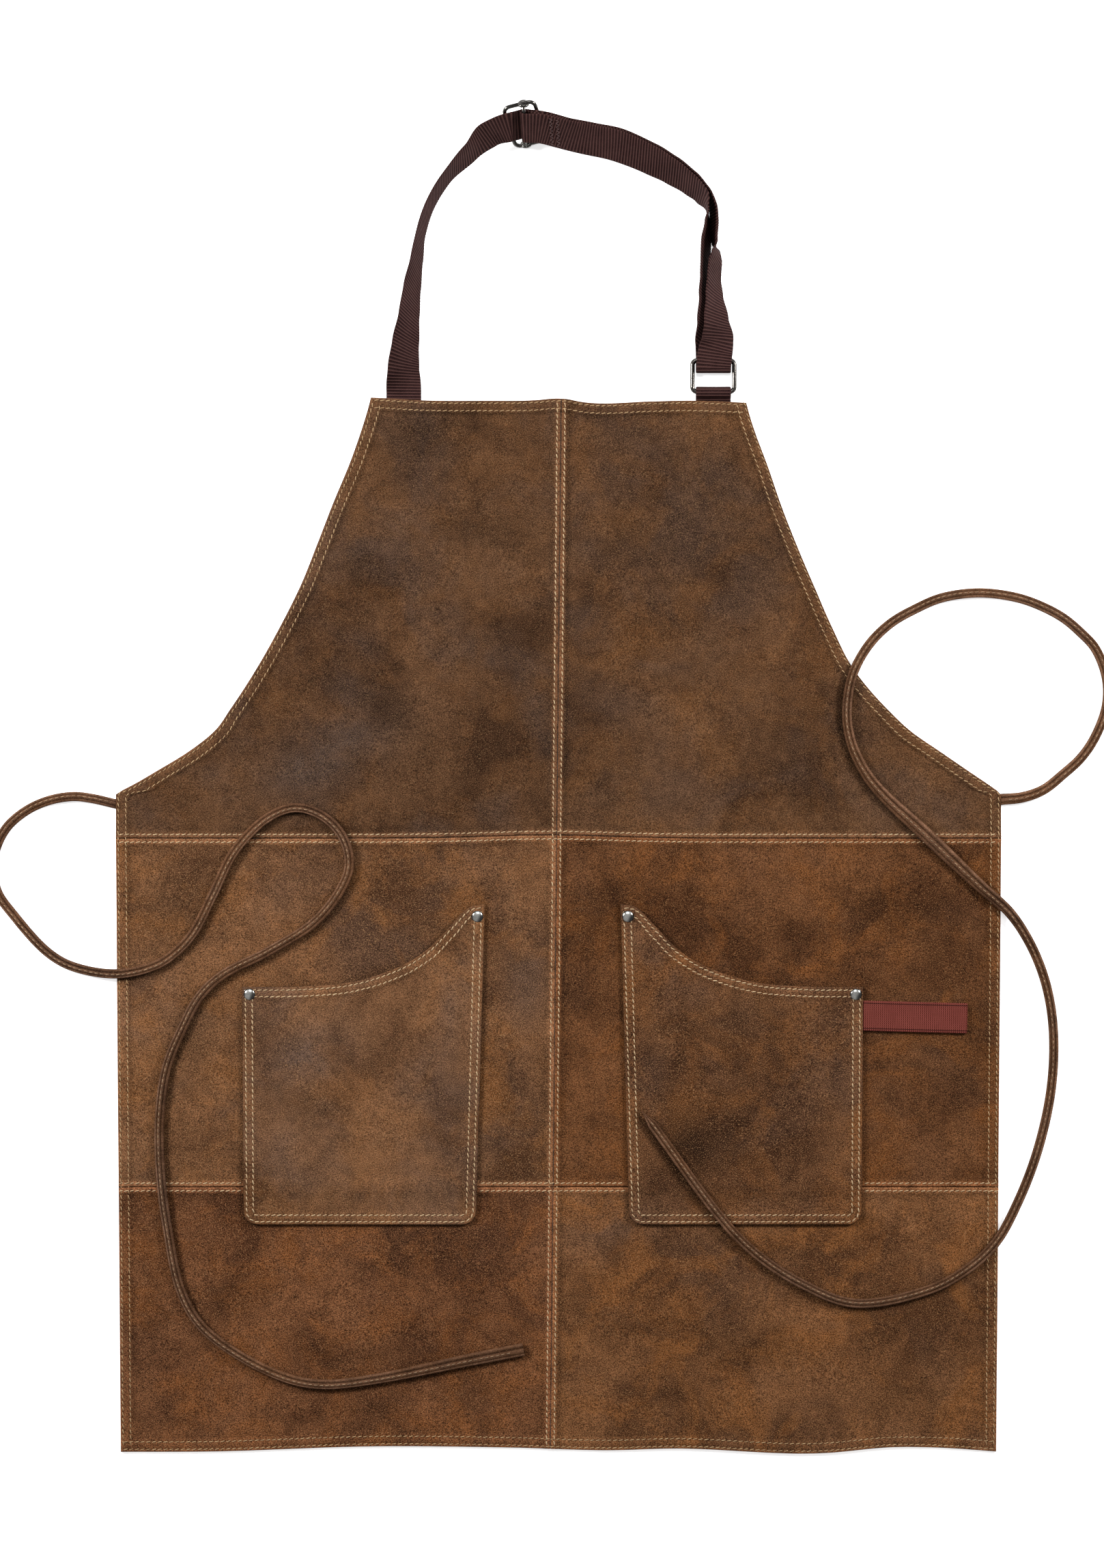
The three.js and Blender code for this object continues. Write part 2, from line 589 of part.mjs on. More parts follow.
const RING_Z = WEBBING + GAP + RING_WIRE / 2;
const TAB_WRAP = RING_WIRE / 2 + GAP + TAB_SLACK + WEBBING / 2;
const RING_LOW_BAR = BIB_HEIGHT + TAB_SHOWS - WEBBING / 2 - TAB_WRAP;
const RING_HIGH_BAR = RING_LOW_BAR + RING_HEIGHT - RING_WIRE;

// The neck strap from under the bib on the left, through the slider, round the ring and back to the slider
function neckStrap() {
  const left = runStations([{ across: -1, up: -STRAP_TUCK / NECK_RISE, lean: 0, lift: 0 }, ...OUTER_RUN_LEFT]);
  const wireAt = SLIDER_LENGTH / 2 - SLIDER_WIRE / 2;
  const overWire = SLIDER_WIRE / 2 + 2 * GAP + WEBBING / 2;
  const wrap = BAR_RADIUS + GAP + WEBBING / 2;
  const layer = WEBBING + GAP;
  const through = sliderStations([
    [-wireAt, overWire],
    [-wireAt / 2, (overWire + BAR_LOOP - wrap - layer) / 2],
    [0, BAR_LOOP - wrap - layer],
    [wireAt / 2, (overWire + BAR_LOOP - wrap - layer) / 2],
    [wireAt, overWire],
  ]);
  const fold = (RING_WIRE + WEBBING + 2 * GAP) / 2 + FOLD_SLACK;
  const foldAt = RING_HIGH_BAR - FOLD_DROP;
  const turn = [90, 45, 0, -45, -90].map((angle) => ({
    middle: new THREE.Vector3(
      NECK_HALF,
      foldAt - fold * Math.cos(angle * RAD),
      WEBBING / 2 + fold + fold * Math.sin(angle * RAD),
    ),
    right: new THREE.Vector3(1, 0, 0),
  }));
  const inner = runStations(INNER_RUN);
  const sewn = sliderStations([
    [SEWN_END, overWire + 2 * layer + SEWN_RISE, -SEWN_DROP],
    [wireAt, overWire + 2 * layer, -SEWN_DROP / 6],
    [0, BAR_LOOP + wrap],
    [-wrap * Math.SQRT1_2, BAR_LOOP + wrap * Math.SQRT1_2],
    [-wrap, BAR_LOOP],
    [-wrap * Math.SQRT1_2, BAR_LOOP - wrap * Math.SQRT1_2],
    [0, BAR_LOOP - wrap],
    [wireAt, overWire + layer, -SEWN_DROP / 6],
    [SEWN_END, overWire + layer + SEWN_RISE, -SEWN_DROP],
  ]);
  const right = runStations(OUTER_RUN_RIGHT);
  return band([...left, ...through, ...right, ...turn, ...inner, ...sewn], WEBBING_WIDTH, WEBBING, 2);
}

// The tab: webbing from under the bib, round the ring's lower bar and back under the bib
function ringTab() {
  const low = WEBBING / 2;
  const start = BIB_HEIGHT - STRAP_TUCK;
  const second = WEBBING + GAP + WEBBING / 2;
  const profile = [
    [start, low],
    [BIB_HEIGHT, low],
    [RING_LOW_BAR, low],
    [RING_LOW_BAR + TAB_WRAP * Math.SQRT1_2, RING_Z - TAB_WRAP * Math.SQRT1_2],
    [RING_LOW_BAR + TAB_WRAP, RING_Z],
    [RING_LOW_BAR + TAB_WRAP * Math.SQRT1_2, RING_Z + TAB_WRAP * Math.SQRT1_2],
    [RING_LOW_BAR, RING_Z + TAB_WRAP],
    [RING_LOW_BAR - TAB_WRAP, RING_Z + TAB_WRAP * 0.6],
    [BIB_HEIGHT + 3 * GAP, second],
    [start, second],
  ];
  const right = new THREE.Vector3(1, 0, 0);
  const stations = profile.map(([y, z]) => ({ middle: new THREE.Vector3(NECK_HALF, y, z), right }));
  return straightBand(stations, WEBBING_WIDTH, WEBBING);
}

// A band whose stations are joined by straight pieces, mitred at each
function straightBand(stations, width, thickness) {
  const rings = stations.map(({ middle, right }, i) => {
    const before = stations[Math.max(0, i - 1)].middle;
    const after = stations[Math.min(stations.length - 1, i + 1)].middle;
    const forward = after.clone().sub(before).normalize();
    const face = new THREE.Vector3().crossVectors(right, forward).normalize();
    return corners(middle, right, face, width, thickness);
  });
  return skin(rings, false);
}

// The side band: elastic folded into a flat loop that comes out from the pocket's outer edge
function sideBand() {
  const y = -POCKET_MOUTH_DROP - BAND_BELOW_MOUTH;
  const above = y - POCKET_BOTTOM;
  const { inner, width } = pocketSpan(above);
  const start = middleSeam(POCKET_BOTTOM) + inner + width + BAND_CLEAR;
  const slope = Math.tan(BAND_SLOPE_DEG * RAD);
  const fold = (BAND_THICKNESS + GAP) / 2;
  const end = start + BAND_REACH - fold - BAND_THICKNESS / 2;
  const low = BAND_CLEAR + BAND_THICKNESS / 2;
  const standAt = (x) => leatherTop(x, y + slope * (x - start));
  const places = evenly(start, end, 5).map((x) => [x, standAt(x) + low]);
  const back = places.map(([x, z]) => [x, z + 2 * fold]).reverse();
  const bend = [45, 0, -45].map((angle) => [
    end + fold * Math.cos(angle * RAD),
    standAt(end) + low + fold - fold * Math.sin(angle * RAD),
  ]);
  const right = new THREE.Vector3(slope, -1, 0).normalize();
  const stations = [...places, ...bend, ...back].map(([x, z]) => ({
    middle: new THREE.Vector3(x, y + slope * (x - start), z),
    right,
  }));
  return straightBand(stations, BAND_WIDTH, BAND_THICKNESS);
}

// A tie's middle line: its route from above, laid on the highest thing within a short reach of each place
function tieLine(route) {
  const plan = new THREE.CatmullRomCurve3(route.map(([x, y]) => new THREE.Vector3(x, y, 0)));
  plan.arcLengthDivisions = 2000;
  const pace = 3;
  const count = Math.round(plan.getLength() / pace);
  const places = plan.getSpacedPoints(count);
  const heights = places.map((place, i) => {
    const after = places[Math.min(count, i + 1)];
    const before = places[Math.max(0, i - 1)];
    const across = new THREE.Vector3(before.y - after.y, after.x - before.x, 0).setLength(TIE_WIDTH / 2);
    const spots = [-1, 0, 1].map((share) => place.clone().addScaledVector(across, share));
    const highest = Math.max(...spots.map((spot) => surface(spot.x, spot.y)));
    return highest > 0 ? highest + TIE_CLEAR : 0;
  });
  const reach = Math.round((TIE_WIDTH * 2) / pace);
  const near = (values, i) => values.slice(Math.max(0, i - reach), i + reach + 1);
  const held = heights.map((_, i) => Math.max(...near(heights, i)));
  const mean = (values) => values.reduce((sum, value) => sum + value, 0) / values.length;
  const eased = held.map((_, i) => mean(near(held, i).map((height) => Math.max(height, heights[i]))));
  eased[0] = 0;
  eased[1] = 0;
  return places.map((place, i) => new THREE.Vector3(place.x, place.y, eased[i] + TIE_THICKNESS / 2 + GAP / 2));
}

// A tie: a folded leather lace, an eight-sided flat section carried along its line
function tie(route) {
  const path = new THREE.CatmullRomCurve3(tieLine(route));
  path.arcLengthDivisions = 2000;
  const section = new THREE.Shape(
    evenly(0, 7, 7).map((side) => {
      const turn = ((side + 0.5) / 8) * 2 * Math.PI;
      const [x, y] = [Math.cos(turn) / Math.cos(Math.PI / 8), Math.sin(turn) / Math.cos(Math.PI / 8)];
      return new THREE.Vector2((x * TIE_THICKNESS) / 2, (y * TIE_WIDTH) / 2);
    }),
  );
  const geometry = new THREE.ExtrudeGeometry(section, { steps: TIE_STEPS, extrudePath: path, bevelEnabled: false });
  return outward(mergeVertices(plain(geometry), 1e-4));
}

const leather = (colour) => new THREE.MeshStandardMaterial({ color: colour, roughness: 0.85, metalness: 0 });
const webbing = () => new THREE.MeshStandardMaterial({ color: 0x3a2226, roughness: 0.9, metalness: 0 });
const wire = () => new THREE.MeshStandardMaterial({ color: 0x55534f, roughness: 0.3, metalness: 1 });
const nickel = () => new THREE.MeshStandardMaterial({ color: 0xb9b6ae, roughness: 0.25, metalness: 1 });

const apron = new THREE.Group();
function add(name, geometry, material) {
  const mesh = new THREE.Mesh(geometry, material);
  mesh.name = name;
  apron.add(mesh);
  return mesh;
}

const SEAM_HALF = GAP / 2;
const bibLevels = [
  ...[...STRIP_ROWS].reverse().map((down) => WAIST_STRIP * (1 - down) + (down === 1 ? SEAM_HALF : 0)),
  ...[...BIB_SIDES].reverse().map(({ down }) => BIB_HEIGHT - down * (BIB_HEIGHT - WAIST_STRIP)),
];
const waistLevels = evenly(-WAIST_PANEL + SEAM_HALF, -SEAM_HALF, 11);
const hemTop = -WAIST_PANEL - SKIRT_PANEL + HEM_WIDTH;
const skirtLevels = [-WAIST_PANEL - SKIRT_PANEL, ...evenly(hemTop, -WAIST_PANEL - SEAM_HALF, 8)];
const leftEdge = (y) => -halfWidth("left", y);
const rightEdge = (y) => halfWidth("right", y);
const seamWest = (y) => middleSeam(y) - SEAM_HALF;
const seamEast = (y) => middleSeam(y) + SEAM_HALF;
add("bib_left", panel(bibLevels, leftEdge, seamWest, 12), leather(0x5f3d24));
add("bib_right", panel(bibLevels, seamEast, rightEdge, 12), leather(0x643f26));
add("waist_left", panel(waistLevels, leftEdge, seamWest, 13), leather(0x5c3a22));
add("waist_right", panel(waistLevels, seamEast, rightEdge, 13), leather(0x613b21));
add("skirt_left", panel(skirtLevels, leftEdge, seamWest, 13), leather(0x543018));
add("skirt_right", panel(skirtLevels, seamEast, rightEdge, 13), leather(0x5c3b24));
add("pocket_left", pocket(-1), leather(0x634733));
add("pocket_right", pocket(1), leather(0x5d4029));
add("rivet_left_outer", rivet(-1, 0), nickel());
add("rivet_left_inner", rivet(-1, 1), nickel());
add("rivet_right_inner", rivet(1, 1), nickel());
add("rivet_right_outer", rivet(1, 0), nickel());
add("side_band", sideBand(), new THREE.MeshStandardMaterial({ color: 0x6e3434, roughness: 0.9, metalness: 0 }));
add("neck_strap", neckStrap(), webbing());
add("ring_tab", ringTab(), webbing());
const ring = add("ring", wireLoop(RING_WIDTH, RING_HEIGHT, RING_WIRE, RING_CORNER), wire());
ring.position.set(NECK_HALF, (RING_LOW_BAR + RING_HIGH_BAR) / 2, RING_Z);
const frameAcross = 2 * SLIDER_HALF + SLIDER_WIRE;
const sliderFrame = add("slider_frame", wireLoop(SLIDER_LENGTH, frameAcross, SLIDER_WIRE, SLIDER_CORNER), wire());
sliderFrame.rotateZ(FRAME_SKEW_DEG * RAD);
sliderFrame.applyMatrix4(SLIDER_AXES);
const bar = add("slider_bar", sliderBar(), wire());
bar.applyMatrix4(SLIDER_AXES);

// The origin is on the floor, under the middle of everything but the ties
apron.updateMatrixWorld(true);
const bounds = new THREE.Box3().setFromObject(apron, true);
const centre = bounds.getCenter(new THREE.Vector3());
add("tie_left", tie(TIE_LEFT_ROUTE), leather(0x5a3b26));
add("tie_right", tie(TIE_RIGHT_ROUTE), leather(0x5a3b26));
apron.position.set(-centre.x, -centre.y, -bounds.min.z);

export default apron;
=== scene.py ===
"""A leather work apron that lies flat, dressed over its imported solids.

Plan sizes are in millimetres with the waist seam at zero height, as the solids were drawn, and every mesh is put
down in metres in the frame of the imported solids.
"""
import logging
import math
from dataclasses import dataclass
from enum import Enum
from typing import Sequence

import bpy
import numpy as np
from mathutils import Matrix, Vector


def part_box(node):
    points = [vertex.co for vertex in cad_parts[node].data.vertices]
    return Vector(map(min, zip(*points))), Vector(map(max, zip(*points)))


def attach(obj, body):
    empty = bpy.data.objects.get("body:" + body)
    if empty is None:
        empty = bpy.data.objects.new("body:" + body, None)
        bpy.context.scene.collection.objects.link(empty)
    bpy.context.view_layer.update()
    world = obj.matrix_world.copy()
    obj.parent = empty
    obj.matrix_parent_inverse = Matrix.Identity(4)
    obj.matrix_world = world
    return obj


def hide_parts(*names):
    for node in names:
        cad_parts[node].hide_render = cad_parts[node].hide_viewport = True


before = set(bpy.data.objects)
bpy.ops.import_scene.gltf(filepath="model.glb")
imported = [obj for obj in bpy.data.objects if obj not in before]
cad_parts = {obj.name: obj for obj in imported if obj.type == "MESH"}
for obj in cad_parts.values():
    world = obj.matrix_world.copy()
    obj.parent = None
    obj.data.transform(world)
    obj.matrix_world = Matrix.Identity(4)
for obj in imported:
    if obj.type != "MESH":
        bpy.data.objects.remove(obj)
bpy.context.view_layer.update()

LOG = logging.getLogger("apron")
MM = 0.001
RAD = math.pi / 180
Array = np.ndarray

BIB_HEIGHT = 314.0
BIB_TOP_HALF = 134.5
WAIST_HALF = 317.5
WAIST_STRIP = 33.0
WAIST_PANEL = 250.0
SKIRT_PANEL = 187.0
HEM_TAPER = 3.5
HEM_WAVE = 4.0
SEAM_SWAY = 6.0
LEATHER = 1.4
SWELL = 2.6
FLAT_SHARE = 0.2
GAP = 0.3
SEAM_HALF = 0.15
SEAM_SHUT = 0.01
BODY_HEIGHT = BIB_HEIGHT + WAIST_PANEL + SKIRT_PANEL
HEM_Y = -WAIST_PANEL - SKIRT_PANEL
POCKET_BOTTOM = -277.0
POCKET_HEIGHT = 170.5
POCKET_RISE = 59.5
POCKET_CORNER = 10.0
WEBBING_WIDTH = 25.0
WEBBING = 1.3
NECK_HALF = 111.0
NECK_RISE = 216.0
STRAP_TUCK = 20.0
CROSSING_X = -6.0
CROSSING_RISE = 2.3
CROSSING_WIDE = 62.0
CROSSING_HIGH = 26.0
# Columns of the stains' table, and how strongly stains and the ties' painted shadows darken the leather
DARKNESS, DULLNESS = 5, 6
STAIN_WEIGHT = 0.85
TIE_SHADOW = 0.62
# How much larger than its solid a rivet's head is
HEAD_SHARE = 1.07

# Share of the way down the bib's side, and shares of the way out to the waist on the left and on the right
BIB_SIDES = np.array([
    (0, 0, 0), (0.03, 0.012, 0.012), (0.075, 0.033, 0.034), (0.16, 0.079, 0.083), (0.27, 0.15, 0.142),
    (0.37, 0.21, 0.202), (0.475, 0.275, 0.27), (0.58, 0.356, 0.34), (0.685, 0.447, 0.423),
    (0.79, 0.552, 0.56), (0.845, 0.613, 0.65), (0.895, 0.71, 0.761), (0.948, 0.844, 0.879),
    (0.983, 0.938, 0.958), (1, 0.99, 0.995),
])
# Share of the half width, and share of the hem's wave that the bottom edge drops by
HEM_LINE = np.array([
    (-1, 0.75), (-0.8, 0.7), (-0.4, -0.25), (-0.1, 0), (0.12, 0.45), (0.25, 0.15), (0.6, 0.95),
    (0.76, -0.1), (0.86, 0), (1, 0.75),
])
# Soft swells: place across and up, length and width, turn in degrees, rise
SWELLS = np.array([
    (-0.27, 0.27, 0.12, 0.065, 62, 0.8), (-0.2, 0.1, 0.13, 0.065, 22, 1),
    (0.2, 0.23, 0.13, 0.065, -38, 0.9), (0.45, 0.06, 0.13, 0.06, 38, 0.75),
    (-0.68, 0.02, 0.1, 0.06, -12, 0.6), (-0.88, -0.2, 0.11, 0.06, 84, 0.7),
    (-0.06, -0.14, 0.11, 0.06, 88, 0.65), (0.84, -0.13, 0.11, 0.06, 70, 0.75),
    (-0.55, -0.47, 0.13, 0.065, 12, 1), (0.28, -0.5, 0.12, 0.065, -16, 0.9),
    (0.82, -0.44, 0.1, 0.06, 52, 0.7),
])
# Shallow creases in the leather: place across and up, length and width in millimetres, turn, depth in millimetres
CREASES = np.array([
    (0.045, -0.06, 34, 4, 84, 0.5), (-0.36, 0.19, 40, 6, 40, 0.4), (0.13, 0.12, 46, 8, 60, 0.45),
    (-0.08, 0.13, 40, 7, -70, 0.35), (0.62, 0.03, 50, 7, 20, 0.45), (-0.72, -0.5, 45, 7, 30, 0.5),
    (-0.42, -0.42, 50, 8, -20, 0.45), (0.35, -0.46, 60, 8, 12, 0.45), (0.7, -0.38, 40, 6, -60, 0.4),
    (-0.9, -0.12, 34, 5, 75, 0.4), (0.28, 0.33, 44, 8, 35, 0.4), (-0.3, 0.36, 44, 8, -30, 0.35),
])
# Stains of the leather, the last row a painted shadow beside the right tie's end: place across and up, length and
# width in millimetres, turn, darkness, dullness
STAINS_AND_SHADOW = np.array([
    (-0.16, 0.295, 34, 15, -12, 0.55, 0.1), (0.17, 0.29, 30, 17, 25, 0.45, 0.1),
    (0.43, 0.285, 42, 22, -50, 0.4, 0), (-0.48, 0.097, 46, 24, 20, 0, 0.9),
    (-0.58, 0.06, 34, 18, 10, 0.1, 0.7), (-0.36, 0.113, 26, 13, -35, 0.5, 0),
    (0.32, 0.2, 60, 22, -60, 0.2, 0.25), (-0.3, 0.38, 50, 18, 15, 0.3, 0),
    (0.12, 0.06, 40, 30, 60, 0.25, 0.3), (-0.86, -0.07, 36, 22, 60, 0.5, 0.1),
    (-0.82, -0.195, 30, 20, 80, 0.45, 0.1), (-0.57, -0.21, 34, 22, 30, 0.05, 0.9),
    (-0.56, -0.255, 22, 10, -10, 0.45, 0.1), (-0.07, -0.136, 34, 16, 85, 0.1, 0.75),
    (0.09, -0.075, 30, 20, 70, 0.5, 0), (0.31, -0.295, 40, 26, 35, 0.55, 0),
    (0.42, -0.17, 34, 14, 12, 0.3, 0.15), (0.76, -0.07, 50, 16, -20, 0.35, 0),
    (0.93, -0.2, 40, 12, 85, 0.3, 0), (-0.74, -0.44, 46, 15, 15, 0.5, 0),
    (-0.42, -0.5, 50, 13, -10, 0.45, 0), (-0.16, -0.52, 36, 20, 60, 0.3, 0),
    (0.12, -0.37, 44, 20, 10, 0.05, 0.6), (0.47, -0.487, 50, 14, -8, 0.4, 0),
    (0.78, -0.53, 44, 12, 18, 0.35, 0), (-0.9, -0.4, 40, 14, 80, 0.35, 0),
    # The last row here is a painted shadow beside the right tie's end, not a stain
    (0.62, 0.1, 46, 18, -38, 0.2, 0.35), (0.275, -0.283, 27, 9, -54, 0.4, 0),
])
# The bib's upper edge: share of its half width, millimetres that it stands above its mean height
TOP_LINE = np.array([
    (-1, 2.0), (-0.93, 1.6), (-0.74, 0.1), (-0.4, -0.35), (-0.12, 0.1), (-0.01, 1.2), (0.05, 0.7),
    (0.11, -0.9), (0.5, -0.9), (0.65, -0.4), (0.9, -1.2), (1, -1.9),
])
# The pocket's mouth: share of its width from the outer corner, share of its rise
MOUTH = np.array([
    (0, 0), (0.25, 0.008), (0.45, 0.06), (0.6, 0.185), (0.7, 0.32), (0.78, 0.49), (0.86, 0.74),
    (0.93, 0.95), (1, 1),
])
# The neck strap's runs: share across, share up, lean in degrees, lift as a share of the webbing's width
OUTER_RUN_LEFT = np.array([
    (-1, -STRAP_TUCK / NECK_RISE, 0, 0), (-1, 0.02, 0, 0), (-1, 0.105, -28, 0), (-0.985, 0.19, -42, 0),
    (-0.962, 0.28, -56, 0), (-0.942, 0.37, -63, 0), (-0.913, 0.46, -72, 0), (-0.885, 0.55, -78, 0),
    (-0.828, 0.64, -79, 0), (-0.722, 0.73, -78, 0.02), (-0.57, 0.812, -67, 0.08), (-0.45, 0.87, -49, 0.22),
])
OUTER_RUN_RIGHT = np.array([
    (0.035, 0.881, -44, 0.22), (0.207, 0.865, -41, 0.1), (0.377, 0.848, -38, 0.03), (0.593, 0.802, -45, 0),
    (0.733, 0.763, -54, 0), (0.852, 0.721, -63, 0), (0.937, 0.68, -72, 0), (0.992, 0.636, -80, 0),
    (1.0, 0.584, -78, 0), (1.005, 0.519, -84, 0), (1.014, 0.487, -106, 0), (1.01, 0.455, -114, 0),
    (1.002, 0.404, -115, 0), (1.004, 0.343, -122, 0.01), (1.017, 0.266, -137, 0.03),
    (1.026, 0.2, -158, 0.14), (1.01, 0.155, -175, 0.25),
])
INNER_RUN = np.array([
    (1, 0.15, 0, 0), (0.996, 0.172, -5, 0), (0.985, 0.2, -20, 0), (0.973, 0.267, -42, 0),
    (0.953, 0.344, -62, 0), (0.947, 0.404, -70, 0), (0.946, 0.455, -72, 0), (0.95, 0.519, -72, 0),
    (0.958, 0.58, -80, 0), (0.96, 0.627, -90, 0), (0.922, 0.671, -110, 0.02), (0.843, 0.71, -118, 0.03),
    (0.724, 0.753, -127, 0.04), (0.593, 0.791, -136, 0.05), (0.377, 0.838, -143, 0.085),
    (0.206, 0.856, -141, 0.15),
])
# How steeply the ribs cross the webbing, seen from above, by height on its two outer runs and by x on the inner one
RIBS_LEFT = np.array([
    (316, 0), (327, -0.05), (344, -0.25), (356, -0.45), (373, -0.7), (390, -1.0), (424, -1.4), (455, -2.2),
    (480, -1.6), (492, -0.5), (500, 0),
])
RIBS_RIGHT = np.array([(354, 0), (365, 0.15), (370, 0.35), (386, 0.6), (405, 1.0), (420, 1.2), (440, 0)])
RIBS_INNER = np.array([(-16, -0.1), (40, -0.25), (89, -0.5), (108, -0.85), (114, -0.5), (118, 0)])
# The ties' routes, as in the solids, here in metres from the waist seam
TIE_LEFT_ROUTE = MM * np.array([
    (-319, 25), (-334, 28.5), (-348, 30), (-366, 27), (-383, 19), (-397, 6), (-405, -14), (-403, -37),
    (-390, -56), (-366, -82), (-348, -92), (-317, -97), (-289, -91), (-275, -82), (-262, -68), (-248, -41),
    (-232, -9), (-208, 15), (-188, 22), (-168, 15.5), (-154, 0), (-150, -20), (-157, -38), (-175, -60),
    (-208, -81), (-241, -98), (-257, -113), (-270, -137), (-281, -165), (-286, -202), (-285, -242),
    (-280, -281), (-271, -323), (-257, -348), (-229, -370), (-193, -387), (-168, -391), (-130, -387),
    (-66, -374), (-25, -366),
])
TIE_RIGHT_ROUTE = MM * np.array([
    (318.5, 28), (333, 29.5), (348, 35), (362, 46), (375, 58), (385, 73), (393, 95), (393, 115), (385, 136),
    (374, 148), (362, 158), (345, 167), (327, 173), (301, 176), (275, 172.5), (257, 165), (238, 154),
    (222, 138), (211, 118), (207, 98), (207, 82), (211, 65), (220, 47), (232, 32), (263, 3), (302, -34),
    (324, -54), (339, -77), (350, -106), (355, -140), (353, -182), (342, -229), (325, -270), (311, -292),
    (292, -309), (266, -323), (213, -333), (178, -321), (133, -290), (60, -195.5),
])


# Curves and tables

def eased(rows: Array, column: int, at: Array) -> Array:
    """Value of a table's column along its first column, by cubics whose slope at a row is that of its
    neighbours.

    Args:
        rows: the table, its first column rising.
        column: the column to read.
        at: places along the first column.

    Returns:
        The values at those places.
    """
    xs, ys = rows[:, 0], rows[:, column]
    slopes = np.gradient(ys, xs)
    at = np.clip(at, xs[0], xs[-1])
    i = np.clip(np.searchsorted(xs, at) - 1, 0, len(xs) - 2)
    span = xs[i + 1] - xs[i]
    t = (at - xs[i]) / span
    low = ys[i] * (1 + 2 * t) * (1 - t) ** 2 + slopes[i] * span * t * (1 - t) ** 2
    return low + ys[i + 1] * t * t * (3 - 2 * t) - slopes[i + 1] * span * t * t * (1 - t)


def smoothstep(value: Array, low: float, high: float) -> Array:
    """3t² - 2t³ of the share of the way from low to high."""
    t = np.clip((value - low) / (high - low), 0, 1)
    return t * t * (3 - 2 * t)


def hump(value: Array, middle: float, reach: float) -> Array:
    """The bell e^-((value - middle) / reach)²."""
    return np.exp(-(((value - middle) / reach) ** 2))


def unit(vectors: Array) -> Array:
    """Vectors divided by their own lengths."""
    return vectors / np.maximum(np.linalg.norm(vectors, axis=-1, keepdims=True), 1e-12)


def centripetal(points: Array, steps: int) -> Array:
    """Centripetal Catmull-Rom curve through points, each span cut in equal steps.

    The knots are spaced by the square root of the distance between points, and the ends run on straight.

    Args:
        points: the points, one a row.
        steps: steps in each span.

    Returns:
        The curve's points.
    """
    ends = np.vstack([2 * points[0] - points[1], points, 2 * points[-1] - points[-2]])
    index = np.arange((len(points) - 1) * steps + 1)
    span = np.minimum(index // steps, len(points) - 2)
    t = (index / steps - span)[:, None]
    p0, p1, p2, p3 = (ends[span + k] for k in range(4))
    pairs = (p0, p1), (p1, p2), (p2, p3)
    gaps = [np.sqrt(np.linalg.norm(b - a, axis=1, keepdims=True)) for a, b in pairs]
    g0, g1, g2 = (np.maximum(gap, 1e-6) for gap in gaps)
    m1 = g1 * ((p1 - p0) / g0 - (p2 - p0) / (g0 + g1) + (p2 - p1) / g1)
    m2 = g1 * ((p2 - p1) / g1 - (p3 - p1) / (g1 + g2) + (p3 - p2) / g2)
    return p1 + t * (m1 + t * (3 * (p2 - p1) - 2 * m1 - m2 + t * (2 * (p1 - p2) + m1 + m2)))


def held(vectors: Array, steps: int) -> Array:
    """Vectors carried from row to row by 3t² - 2t³, each span cut in equal steps.

    Args:
        vectors: one vector a row.
        steps: steps in each span.

    Returns:
        The vectors at every step.
    """
    index = np.arange((len(vectors) - 1) * steps + 1)
    span = np.minimum(index // steps, len(vectors) - 2)
    t = smoothstep(index / steps - span, 0, 1)[:, None]
    return vectors[span] * (1 - t) + vectors[span + 1] * t


def evenly_along(points: Array, pace: float) -> tuple[Array, float]:
    """A line's points at an even pace along it, and its length.

    Args:
        points: the line's points, one a row.
        pace: distance between the new points.

    Returns:
        The new points, and the line's length.
    """
    lengths = np.concatenate([[0], np.cumsum(np.linalg.norm(np.diff(points, axis=0), axis=1))])
    count = max(2, round(lengths[-1] / pace) + 1)
    places = np.linspace(0, lengths[-1], count)
    return np.stack([np.interp(places, lengths, axis) for axis in points.T], axis=1), float(lengths[-1])


# Meshes

def put_down(points: Array) -> Array:
    """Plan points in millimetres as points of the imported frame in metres.

    Round the upper crossing of the seams they move towards the neck by a bell that is round on the plan:
    rise·exp(-((x - middle) / wide)² - (y / high)²).

    Args:
        points: the line's points, one a row.

    Returns:
        The points in metres.
    """
    aside = (points[..., 0] - CROSSING_X) / CROSSING_WIDE
    up = CROSSING_RISE * np.exp(-(aside ** 2) - (points[..., 1] / CROSSING_HIGH) ** 2)
    return (points + np.stack([0 * up, SHIFT_Y + up, 0 * up], axis=-1)) * MM


